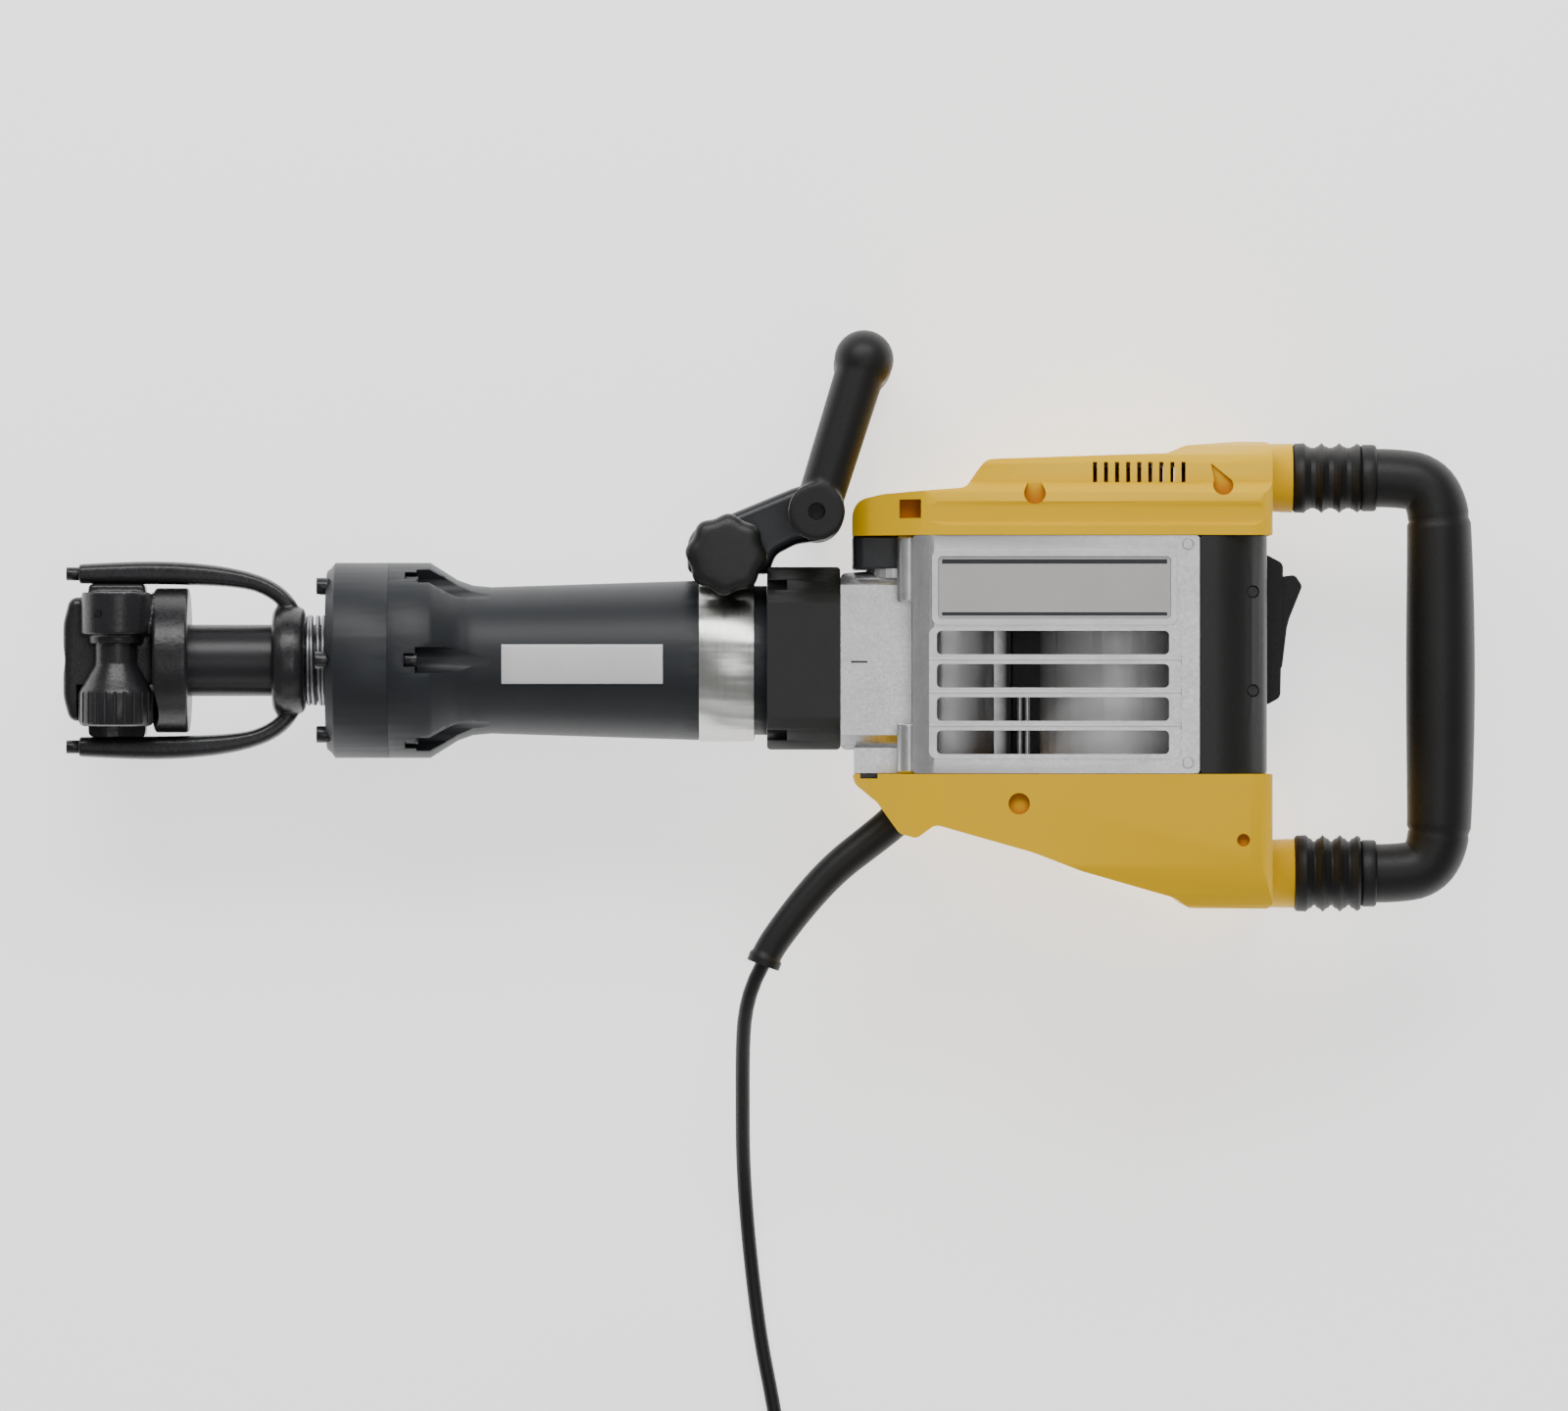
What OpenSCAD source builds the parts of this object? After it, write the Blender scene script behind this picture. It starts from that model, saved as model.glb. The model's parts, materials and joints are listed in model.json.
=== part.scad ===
/* [Overall] */
// Length from the tool mouth to the back of the rear grip
overall_l = 760; // [740:1:780]
// Half of the housing's width
half_w = 82; // [78:1:84]
// Height of the stirrup handle's top above the hammer's axis
top_reach = 176.3; // [174:0.1:180]
// Depth of the lowest point below the hammer's axis
bottom_reach = 135.7; // [135:0.1:140]

/* [Tool holder] */
// Hexagon of the tool shank, across flats
hex_af = 28.6; // [25:0.1:30]
// Radius of the round guide bore in the tool head
guide_r = 17.5; // [17:0.1:18]
// Outer radius of the tool sleeve
sleeve_r = 19.25; // [18.5:0.05:20]
// How far the sprung tool head slides back
head_travel = 6; // [3:0.5:8]
// Radius of the lock pin's knob
lock_knob_r = 22.5; // [18:0.5:24]

/* [Impact mechanism] */
// Bore of the cylinder
bore_r = 30; // [28:0.5:31]
// Throw of the crank
crank_r = 14; // [12:0.5:14]
// Length of the connecting rod between its eyes
rod_l = 60; // [56:1:62]
// Crank axis behind the middle of the hammer
crank_x = 96; // [94:0.5:98]
// Module of the gear teeth
gear_m = 1.5; // [1.25:0.25:1.5]

/* [Motor] */
// Outer radius of the motor tube
motor_r = 42; // [40:0.5:43]
// Radius of the armature
armature_r = 24; // [20:0.5:26]

/* [Handles] */
// Radius of the rear grip
grip_r = 18.5; // [17:0.5:20]
// Travel of the damped rear handle
handle_travel = 10; // [5:1:12]
// Radius of the stirrup handle's grip
stirrup_grip_r = 16; // [14:0.5:17]
// Half of the stirrup handle's width
stirrup_half = 76; // [70:1:80]
// Radius of the clamp knob
knob_r = 22; // [18:0.5:24]

/* [Covers] */
// Wall of the covers
wall = 3.5; // [3:0.1:4]
// Louvre windows on each side
louvres = 4; // [3:1:4]
// Vent slots on each side of the upper cover
vents = 9; // [5:1:9]

/* [Cord] */
// Diameter of the power cord
cord_d = 8; // [7:0.1:9]
// Mean radius of the coiled cord
coil_r = 47; // [44:1:52]
// Layers of turns in the coil
coil_layers = 5; // [4:1:5]

/* [Hidden] */
$fn = 64;
gap = 0.05;

// The hammer's axis lies along X; the origin is on the floor, below the middle of its outline
axis_y = (bottom_reach - top_reach) / 2;
nose_x = -overall_l / 2;
tail_x = overall_l / 2;

// Tool holder
lock_x = -351;
lock_z = 26;
flange_x0 = -238.5;
flange_x1 = -183;
ring_x1 = flange_x0 - head_travel - 5.5;
split_x = -205;
flange_r = 52.6;
bolt_circle_r = 46;
bolt_angles = [30, 90, 150, 210, 270, 330];
bow_y = 46.6;

// Barrel
barrel_x1 = -1.8;
liner_r = bore_r + 4;
barrel_front_r = 39.5;
barrel_rear_r = 43;
band_x0 = -38.5;
band_x1 = -8.4;
band_r = 42;

// Crank and gears, with the crank's pin at its foremost point at rest
pin_x = crank_x - crank_r;
wrist_x = pin_x - rod_l;
piston_face_x = wrist_x - 9 - 2 * crank_r - 1;
pinion_teeth = 9;
idler_teeth = 46;
idler_pinion_teeth = 13;
crank_gear_teeth = 52;
idler_x = crank_x + gear_m * (idler_pinion_teeth + crank_gear_teeth) / 2;
motor_x = idler_x + gear_m * (pinion_teeth + idler_teeth) / 2;
gear_low_y = 48.5;
gear_high_y = 56.4;
gear_w = 7;

// Housing
shell_x0 = 76;
shell_x1 = 229;
shell_y0 = -60.5;
shell_y1 = 66.5;
shell_z = half_w;
inner_z = 46;
louvre_pitch = 17.7;
louvre_h = 12.4;
louvre_top_y = 9.2;
rear_x1 = 266;
cover_x1 = 268;
leg_top_y = 98.2;
leg_bottom_y = -114.7;
leg_r = 16;
neck_x = 281;
bellows_x1 = 317.7;
rib_x = 247;
rod_r = 6;
leg_x = rib_x + 27 + handle_travel;

// Side handle
clamp_x = -23.5;
clamp_y = 56.5;
pivot_x = 24.8;
pivot_y = 79.2;
grip_x = 50.1;
grip_y = top_reach - stirrup_grip_r;

// Cord: the route's own points, on the row's axes
relief_start = [66, -88];
relief_turn = -135;
relief_route = [
    [64, -89, 0], [52, -98.5, 0], [39, -108.5, 0], [28.5, -118.5, 0], [17.9, -130.6, 0],
    [7.4, -144.1, 0], [-1, -156.2, 0], [-4, -164.2, 0]
];
cord_route = [
    [-4, -184, 82], [-10, -196, 79], [-14, -212, 70], [-15, -234, 54], [-15, -260, 38],
    [-15, -284, 23], [-14, -308, 11], [-12, -334, 5], [-9, -362, 4], [-5, -392, 4],
    [1, -422, 4], [6, -452, 4], [8, -480, 4], [8, -506, 4]
];
turn_pitch = cord_d + 0.33;
coil_x = -52;
coil_y = -510;
coil_half = (3 * turn_pitch + cord_d) / 2;
coil_h = (coil_layers - 1) * turn_pitch + cord_d;
tail_route = [
    [-30, -471, 45], [-18, -482, 46], [-9, -500, 46], [-8, -520, 47], [-16, -538, 50],
    [-28, -550, 54], [-42, -555, 56]
];
tie_angle = 200;

// Plug, lying on the coil with its pins towards -X
plug_r = 15;
plug_x = -40;
plug_y = -555;
plug_z = coil_h + plug_r;
pin_pitch = 19;

// ---- Shape helpers

module placed() { translate([0, axis_y, half_w]) children(); }

module block(a, b) { translate(a) cube(b - a); }

module xcyl(x0, x1, r, y = 0, z = 0) {
    translate([x0, y, z]) rotate([0, 90, 0]) cylinder(r = r, h = x1 - x0);
}

module xcone(x0, x1, r0, r1, y = 0, z = 0) {
    translate([x0, y, z]) rotate([0, 90, 0]) cylinder(r1 = r0, r2 = r1, h = x1 - x0);
}

module ycyl(x, z, y0, y1, r) {
    translate([x, y1, z]) rotate([90, 0, 0]) cylinder(r = r, h = y1 - y0);
}

module zcyl(x, y, z0, z1, r) { translate([x, y, z0]) cylinder(r = r, h = z1 - z0); }

module xtube(x0, x1, ro, ri, y = 0, z = 0) {
    difference() {
        xcyl(x0, x1, ro, y, z);
        xcyl(x0 - 1, x1 + 1, ri, y, z);
    }
}

module ytube(x, z, y0, y1, ro, ri) {
    difference() {
        ycyl(x, z, y0, y1, ro);
        ycyl(x, z, y0 - 1, y1 + 1, ri);
    }
}

// Turns an [x, radius] outline about the hammer's axis
module turned(outline) {
    rotate([0, 90, 0]) rotate_extrude($fn = 96) polygon([for (p = outline) [p[1], p[0]]]);
}

module plate(outline, z0, z1) { translate([0, 0, z0]) linear_extrude(z1 - z0) polygon(outline); }

// An outline whose corners are [x, y, radius], with each corner's arc worked out
function unit(v) = v / norm(v);
function arc_steps(turn) = max(1, ceil(abs(turn) / 15));
function corner(a, b, c, r) =
    let (
        u = unit(a - b),
        v = unit(c - b),
        half = acos(max(-1, min(1, u * v))) / 2,
        centre = b + unit(u + v) * r / sin(half),
        p = b + u * r / tan(half) - centre,
        q = b + v * r / tan(half) - centre,
        a0 = atan2(p[1], p[0]),
        turn = (atan2(q[1], q[0]) - a0 + 540) % 360 - 180,
        n = arc_steps(turn)
    )
    [for (i = [0:n]) centre + r * [cos(a0 + turn * i / n), sin(a0 + turn * i / n)]];
function flat(p) = [p[0], p[1]];
function rounded(pts) =
    let (n = len(pts))
    [for (i = [0:n - 1])
        each (pts[i][2] == 0 ? [flat(pts[i])]
            : corner(flat(pts[(i + n - 1) % n]), flat(pts[i]), flat(pts[(i + 1) % n]), pts[i][2]))];
function rect(x0, y0, x1, y1, r) =
    rounded([[x0, y0, r], [x1, y0, r], [x1, y1, r], [x0, y1, r]]);

// A gear's outline: each tooth is a trapezium between its root and tip circles
function gear_outline(teeth, m) =
    let (r = m * teeth / 2, step = 360 / teeth)
    [for (i = [0:teeth - 1], k = [[-0.28, -1.2], [-0.11, 0.9], [0.11, 0.9], [0.28, -1.2]])
        (r + k[1] * m) * [cos(step * (i + k[0])), sin(step * (i + k[0]))]];

// A gear on an axis along Y, with a tooth along +X; an odd one has a gap along -X, so they mesh
module gear(teeth, x, y0, w) {
    translate([x, y0 + w, 0]) rotate([90, 0, 0])
        linear_extrude(w) polygon(gear_outline(teeth, gear_m));
}

// A tube swept along a route, as one closed polyhedron; its radius runs from r0 to r1
function route_dir(p, i) = unit(p[min(i + 1, len(p) - 1)] - p[max(i - 1, 0)]);
function ring_at(p, i, r, sides) =
    let (
        d = route_dir(p, i),
        side = unit(cross(abs(d[2]) > 0.9 ? [1, 0, 0] : [0, 0, 1], d)),
        up = cross(d, side)
    )
    [for (k = [0:sides - 1]) p[i] + r * (side * cos(360 * k / sides) + up * sin(360 * k / sides))];
function smooth_once(p) =
    [p[0], for (i = [0:len(p) - 2]) each [0.75 * p[i] + 0.25 * p[i + 1], 0.25 * p[i] + 0.75 * p[i + 1]],
        p[len(p) - 1]];

module swept(route, r0, r1, sides = 10) {
    p = smooth_once(route);
    n = len(p);
    points = [for (i = [0:n - 1]) each ring_at(p, i, r0 + (r1 - r0) * i / (n - 1), sides)];
    walls = [for (i = [0:n - 2], k = [0:sides - 1])
        let (a = i * sides, b = a + sides, l = (k + 1) % sides)
        [a + k, b + k, b + l, a + l]];
    start = [for (k = [0:sides - 1]) k];
    end = [for (k = [sides - 1:-1:0]) (n - 1) * sides + k];
    polyhedron(points, concat([start, end], walls), convexity = 6);
}

// ---- Tool holder

module head_outline() {
    plate(rounded([[nose_x, 24, 8], [nose_x, -24, 8], [-376, -32.7, 5], [-331, -32.7, 2],
        [-331, 33.8, 2], [-376, 33.8, 5]]), -33, 19);
}

module tool_head() {
    color([0.20, 0.20, 0.22]) placed() difference() {
        union() {
            head_outline();
            xcyl(-331.5, -312.5, 39);
            plate(rect(-367, -41.3, -336, 41.3, 3), -12, 10);
            ycyl(lock_x, lock_z, 14, 35.9, 18.4);
            block([lock_x - 18.4, 14, 0], [lock_x + 18.4, 35.9, lock_z]);
        }
        xcyl(nose_x - 1, -331, guide_r);
        xcyl(-331.2, -300, sleeve_r + 0.08);
        ycyl(lock_x, lock_z, -40, 13.8, 11.56);
        lock_cone(0.3);
        ycyl(lock_x, lock_z, 12, 40, 10.06);
        ycyl(lock_x, lock_z, -40, -13, lock_knob_r + 0.4);
        zcyl(lock_x - 9, 25, lock_z + 10, lock_z + 20, 2.4);
    }
}

// The notch faces the tool bore when the pin is open; half a turn locks the tool
module lock_pin() {
    color([0.34, 0.34, 0.36]) placed() difference() {
        union() {
            ycyl(lock_x, lock_z, -35.4, -15, lock_knob_r - 2.5);
            lock_cone(0);
            ycyl(lock_x, lock_z, -13.4, 13.4, 11.5);
            ycyl(lock_x, lock_z, 13.4, 37, 10);
        }
        xcyl(lock_x - 40, lock_x + 40, guide_r + 0.6);
        ycyl(lock_x, lock_z, 33, 40, 4);
        for (a = [-60:30:60])
            rotate_about_lock(a) ycyl(lock_x, lock_z + lock_knob_r - 0.6, -40, -16, 2.2);
    }
}

module lock_cone(extra) {
    translate([lock_x, -15.1, lock_z]) rotate([-90, 0, 0])
        cylinder(r1 = lock_knob_r - 3 + extra, r2 = 11.5 + extra, h = 13 + extra);
}

module rotate_about_lock(a) {
    translate([lock_x, 0, lock_z]) rotate([0, a, 0]) translate([-lock_x, 0, -lock_z]) children();
}

bow_outline = rounded([
    [-372, 41.6, 3], [-372, bow_y + 5.1, 3], [-318, bow_y + 3.7, 60], [-282, 46.2, 30],
    [-262, 41.5, 12], [-250, 31, 3], [-250, 22, 1], [-258, 24, 3], [-270, 34.5, 12],
    [-290, 38.6, 30], [-318, 41.3, 60]
]);

module retainer_yoke() {
    color([0.22, 0.22, 0.24]) placed() difference() {
        union() {
            for (s = [0, 1]) mirror([0, s, 0]) plate(bow_outline, -9, 9);
            xcyl(-262, ring_x1, 28.5);
        }
        xcyl(-270, -240, sleeve_r + 0.08);
        retainer_bolt_shapes(0.1);
    }
}

module retainer_bolt_shapes(extra) {
    for (y = [-bow_y, bow_y]) {
        xcyl(nose_x + 7, -345, 2.5 + extra, y);
        xcyl(nose_x + 1, nose_x + 8, 3.6 + extra, y);
    }
}

module retainer_bolts() { color([0.55, 0.55, 0.56]) placed() retainer_bolt_shapes(0); }

// A short stack of disc springs between the yoke's ring and the flange
module retainer_spring() {
    x0 = ring_x1 + 0.2;
    step = (flange_x0 - 0.2 - x0) / 6;
    color([0.60, 0.60, 0.62]) placed() turned(concat(
        [for (i = [0:6]) [x0 + i * step, i % 2 == 0 ? 23 : 26]],
        [[flange_x0 - 0.2, 20.5], [x0, 20.5]]));
}

module tool_sleeve() {
    color([0.16, 0.16, 0.18]) placed() difference() {
        union() {
            xcyl(-325, -231.8, sleeve_r);
            xcyl(-232, -190, bore_r);
        }
        xcyl_hex(-330, -196, hex_af);
        xcyl(-197, -180, 14.2);
        xcone(-326, -320, guide_r + 0.6, hex_af / 2);
    }
}

module xcyl_hex(x0, x1, af) {
    translate([x0, 0, 0]) rotate([0, 90, 0]) cylinder(r = af / sqrt(3), h = x1 - x0, $fn = 6);
}

module nose_cover() {
    color([0.27, 0.28, 0.30]) placed() difference() {
        turned([[flange_x0, 22.9], [flange_x0, 48], [-236.5, 49.5], [-234, flange_r],
            [split_x, flange_r], [split_x, bore_r + gap], [-232, bore_r + gap],
            [-232, sleeve_r + 0.1], [-234.2, sleeve_r + 0.1], [-234.2, 22.9]]);
        flange_bolt_shapes(0.1);
    }
}

module nose_seal() {
    color([0.08, 0.08, 0.08]) placed() xtube(flange_x0 + 0.2, -234.3, 22.8, sleeve_r + 0.1);
}

module flange_bolt_shapes(extra) {
    for (a = bolt_angles)
        rotate([a, 0, 0]) {
            xcyl(flange_x0 - 5, flange_x0 + 1, 4.5 + extra, bolt_circle_r);
            xcyl(flange_x0, -195, 3 + extra, bolt_circle_r);
            xcyl(-196, -189, 5.2 + extra, bolt_circle_r);
        }
}

module flange_bolts() { color([0.60, 0.60, 0.62]) placed() flange_bolt_shapes(0); }

// ---- Barrel and impact mechanism

barrel_outline = [
    [split_x + 0.1, flange_r], [flange_x1, flange_r], [-178, 49.5], [-168, 43.2], [-160, 40.4],
    [-150, barrel_front_r], [band_x0, barrel_rear_r], [band_x0, band_r], [band_x1, band_r],
    [band_x1, 40.2], [barrel_x1, 40.2], [barrel_x1, liner_r], [-149.8, liner_r], [-149.8, 26],
    [-189.8, 26], [-189.8, bore_r + gap], [split_x + 0.1, bore_r + gap]
];

module barrel() {
    color([0.25, 0.27, 0.30]) placed() difference() {
        turned(barrel_outline);
        flange_bolt_shapes(0.1);
        for (a = bolt_angles) rotate([a, 0, 0]) {
            xcyl(-196.1, -150, 7, bolt_circle_r + 0.5);
            block([-190, bolt_circle_r, -7], [-150, 60, 7]);
        }
    }
}

// A blank plate on the near side of the barrel
module barrel_badge() {
    color([0.86, 0.86, 0.86]) placed() difference() {
        intersection() {
            xcone(-150, band_x0, barrel_front_r + 1, barrel_rear_r + 1);
            block([-144, -12.7, 30], [-57.5, 8.4, 60]);
        }
        xcone(-150, band_x0, barrel_front_r + gap, barrel_rear_r + gap);
    }
}

module beat_piece() {
    color([0.62, 0.62, 0.64]) placed() union() {
        xcyl(-189, -151, 14);
        xcyl(-152, -112, 17.9);
        xcyl(-113, -95, 13);
    }
}

module beat_guide() {
    color([0.70, 0.58, 0.34]) placed() difference() {
        union() {
            xcyl(-189.7, -149, 25.9);
            xcyl(-149.6, -110, liner_r - gap);
        }
        xcyl(-200, -100, 14.1);
        xcyl(-162, -100, 17.98);
    }
}

module impact_damper() { color([0.07, 0.07, 0.07]) placed() xtube(-109.9, -100, liner_r - gap, 20); }

module cylinder_liner() {
    color([0.66, 0.66, 0.68]) placed() xtube(-99.9, 60, liner_r - gap, bore_r);
}

ram_x0 = -70;
ram_x1 = -34;

module ram() {
    color([0.58, 0.58, 0.60]) placed() turned([[ram_x0, 0], [ram_x0, 13], [ram_x0 + 2, 15],
        [ram_x0 + 8, 15], [ram_x0 + 8, bore_r - 0.05], [-54, bore_r - 0.05], [-54, 27.5], [-50, 27.5],
        [-50, bore_r - 0.05], [ram_x1, bore_r - 0.05], [ram_x1, 0]]);
}

module piston() {
    color([0.72, 0.72, 0.73]) placed() difference() {
        turned([[piston_face_x - 8, 0], [piston_face_x - 8, bore_r - 0.05],
            [piston_face_x - 5, bore_r - 0.05], [piston_face_x - 5, 27.8],
            [piston_face_x - 2, 27.8], [piston_face_x - 2, bore_r - 0.05], [34, bore_r - 0.05],
            [34, 26], [piston_face_x, 26], [piston_face_x, 0]]);
    }
}

module wrist_pin() { color([0.50, 0.50, 0.52]) placed() ycyl(wrist_x, 0, -12, 12, 5); }

module connecting_rod() {
    color([0.45, 0.45, 0.47]) placed() difference() {
        union() {
            ycyl(wrist_x, 0, -8, 8, 9);
            ycyl(pin_x, 0, -8, 8, 13);
            block([wrist_x, -5, -6], [pin_x, 5, 6]);
        }
        ycyl(wrist_x, 0, -9, 9, 5.02);
        ycyl(pin_x, 0, -9, 9, 8.05);
    }
}

module crankshaft() {
    color([0.55, 0.55, 0.57]) placed() union() {
        for (s = [0, 1]) mirror([0, s, 0]) ycyl(crank_x, 0, 8.3, 18, 27);
        ycyl(pin_x, 0, -8.4, 8.4, 8);
        ycyl(crank_x, 0, 17.9, gear_low_y + gear_w, 10);
        ycyl(crank_x, 0, -33.5, -17.9, 10);
    }
}

module crank_gear() {
    color([0.50, 0.50, 0.50]) placed() difference() {
        gear(crank_gear_teeth, crank_x, gear_low_y, gear_w);
        ycyl(crank_x, 0, 40, 70, 10.02);
        for (a = [30:60:330])
            translate([crank_x, 0, 0]) rotate([0, a, 0]) ycyl(25, 0, 40, 70, 6);
    }
}

// A large gear driven by the motor's pinion, and its own pinion on the crank gear
module idler_gear() {
    color([0.48, 0.48, 0.48]) placed() union() {
        gear(idler_teeth, idler_x, gear_high_y, gear_w - 0.9);
        gear(idler_pinion_teeth, idler_x, gear_low_y, gear_high_y - gear_low_y + 0.1);
        ycyl(idler_x, 0, 39, gear_low_y + 0.1, 6);
        ycyl(idler_x, 0, gear_high_y + 6, 65.5, 6);
    }
}

module crank_bearings() {
    color([0.75, 0.75, 0.76]) placed() {
        ytube(crank_x, 0, 22.3, 34, 18.95, 10.06);
        ytube(crank_x, 0, -33.8, -22.3, 18.95, 10.06);
    }
}

// ---- Gear housing and motor

gearbox_x0 = crank_x - 44.5;
gearbox_x1 = 212;
gearbox_z = 44.5;
neck_outline = rounded([[37.7, -48, 3], [75.7, -48, 2], [75.7, 48.2, 2], [62, 48.2, 3], [37.7, 46.5, 3]]);

module crankcase() {
    color([0.74, 0.74, 0.75]) placed() difference() {
        union() {
            intersection() {
                plate(neck_outline, -46, 46);
                xcyl(30, 80, 61);
            }
            ycyl(crank_x, 0, -52, 44.5, 35.5);
            block([60, -36, -30], [crank_x, 44, 30]);
            gearbox_shape();
            ycyl(idler_x, 0, 36, 46, 11);
            block([45, -60.5, -42], [75.7, -47, 42]);
            block([120, -52, -34], [129, 44.5, 34]);
            block([128, -52, -9], [143.7, 35, 9]);
            for (s = [-1, 1]) ycyl(74, s * 36, -52, 46, 5.8);
        }
        xcyl(30, 61, liner_r + gap);
        xcyl(60, 64, bore_r + 0.3);
        xcyl(60, crank_x, 29.6);
        ycyl(crank_x, 0, -22, 22, 28.2);
        ycyl(crank_x, 0, -34, 34, 19);
        ycyl(crank_x, 0, 30, 50, 12);
        ycyl(idler_x, 0, 38.5, 60, 6.06);
        ycyl(motor_x, 0, 38, 60, 9);
        ycyl(motor_x, 0, 30, 44.4, 11.1);
    }
}

module gearbox_shape() {
    outline = rect(gearbox_x0, -gearbox_z, gearbox_x1, gearbox_z, 14);
    inside = rect(gearbox_x0 + 3, 3 - gearbox_z, gearbox_x1 - 3, gearbox_z - 3, 11);
    translate([0, 63.4, 0]) rotate([90, 0, 0]) difference() {
        linear_extrude(19.4) polygon(outline);
        translate([0, 0, -1]) linear_extrude(16.4) polygon(inside);
    }
}

module gearbox_lid() {
    color([0.70, 0.70, 0.71]) placed() difference() {
        translate([0, 66.4, 0]) rotate([90, 0, 0]) linear_extrude(2.9)
            polygon(rect(gearbox_x0, -gearbox_z, gearbox_x1, gearbox_z, 14));
        ycyl(idler_x, 0, 60, 70, 6.06);
    }
}

module motor_tube() {
    color([0.30, 0.31, 0.33]) placed() difference() {
        ycyl(motor_x, 0, -58, 43.9, motor_r);
        ycyl(motor_x, 0, -60, 50, motor_r - 3);
        block([crank_x, 35.9, -11.5], [idler_x + 11.5, 46, 11.5]);
        for (a = [15:30:345])
            translate([motor_x, 0, 0]) rotate([0, a, 0])
                block([motor_r - 5, 26, -3], [motor_r + 2, 36, 3]);
    }
}

module stator() {
    color([0.35, 0.36, 0.38]) placed() {
        ytube(motor_x, 0, -30, 12, motor_r - 3.1, armature_r + 0.6);
        ytube(motor_x, 0, 12, 18, 36, armature_r + 2);
        ytube(motor_x, 0, -36, -30, 36, armature_r + 2);
    }
}

module armature() {
    color([0.45, 0.45, 0.46]) placed() difference() {
        union() {
            ycyl(motor_x, 0, -30, 12, armature_r);
            ycyl(motor_x, 0, -38, 19.5, armature_r - 5);
            ycyl(motor_x, 0, -72, gear_high_y, 4);
            gear(pinion_teeth, motor_x, gear_high_y - 0.1, gear_w - 0.9);
        }
        for (a = [15:30:345])
            translate([motor_x, 0, 0]) rotate([0, a, 0])
                block([armature_r - 3, -31, -0.8], [armature_r + 1, 13, 0.8]);
    }
}

module commutator() {
    color([0.72, 0.45, 0.20]) placed() difference() {
        ycyl(motor_x, 0, -57, -43, 11);
        ycyl(motor_x, 0, -60, -40, 4);
    }
}

module fan() {
    color([0.12, 0.12, 0.12]) placed() difference() {
        union() {
            ycyl(motor_x, 0, 24, 26, 35);
            ycyl(motor_x, 0, 24, 36, 10);
            for (a = [0:30:330])
                translate([motor_x, 0, 0]) rotate([0, a, 0]) block([9, 25, -1], [34, 36, 1]);
        }
        ycyl(motor_x, 0, 20, 40, 4);
    }
}

module motor_bracket() {
    color([0.62, 0.62, 0.63]) placed() {
        ytube(motor_x, 0, 36.2, 43.8, 11, 4.06);
        difference() {
            union() {
                ycyl(motor_x, 0, -63, -58.1, motor_r);
                ycyl(motor_x, 0, -76, -62, 13);
            }
            ycyl(motor_x, 0, -74, -50, 4.06);
            for (a = [22.5:45:337.5])
                translate([motor_x, 0, 0]) rotate([0, a, 0]) ycyl(25, 0, -70, -50, 6);
        }
    }
}

module brush_holders() {
    color([0.60, 0.50, 0.30]) placed() for (s = [0, 1])
        translate([motor_x, 0, 0]) mirror([s, 0, 0]) block([11.3, -54, -5], [motor_r - 3.2, -46, 5]);
}

// ---- Housing shells and covers

// The housing seen from above: narrow at its front, rounded at its back, d smaller all round
module plan_shape(x1, r, d) {
    rotate([90, 0, 0]) translate([0, 0, -200]) linear_extrude(400) offset_plan(x1, r, d);
}

module offset_plan(x1, r, d) {
    polygon(rounded([
        [43 + d, -40, 6], [52 + d, -52, 20], [84 + d / 2, d - shell_z, 30], [x1 - d, d - shell_z, r - d],
        [x1 - d, shell_z - d, r - d], [84 + d / 2, shell_z - d, 30], [52 + d, 52, 20], [43 + d, 40, 6]
    ]));
}

function louvre_y(i) = louvre_top_y - i * louvre_pitch;

// One side of the cast housing, drawn for the near side
module side_shell() {
    difference() {
        intersection() {
            union() {
                plate(rect(shell_x0, shell_y0, shell_x1 - 0.2, shell_y1 - 0.1, 4), inner_z, shell_z);
                column(30.8, shell_y1 - 0.1);
                column(shell_y0, -33.7);
            }
            plan_shape(shell_x1 - 0.2, 1, 0);
        }
        plate(rect(87.5, shell_y0 + wall, shell_x1 - wall, shell_y1 - wall, 2),
            inner_z - 1, shell_z - wall);
        for (i = [0:louvres - 1])
            plate(rect(87.5, louvre_y(i) - louvre_h / 2, 215, louvre_y(i) + louvre_h / 2, 3),
                inner_z, shell_z + 1);
        plate(rect(89, 24.5, 213, 57, 3), shell_z - 1.5, shell_z + 1);
        for (y = [-55, 61.5]) zcyl(222, y, shell_z - 1.5, shell_z + 1, 3.4);
    }
}

// A round screw post at the shell's front corner
module column(y0, y1) {
    difference() {
        union() {
            ycyl(74.2, 58, y0, y1, 6.4);
            block([72, y0, 50], [shell_x0 + 2, y1, 62]);
        }
        ycyl(74.2, 58, y0 - 1, y0 + 9, 2.6);
    }
}

module side_shell_near() { color([0.76, 0.76, 0.77]) placed() side_shell(); }

module side_shell_far() { color([0.76, 0.76, 0.77]) placed() mirror([0, 0, 1]) side_shell(); }

module name_plates() {
    color([0.20, 0.21, 0.21]) placed() for (s = [0, 1]) mirror([0, 0, s])
        plate(rect(89.3, 24.8, 212.7, 56.7, 2.7), shell_z - 1.5, shell_z - 0.3);
}

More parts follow.
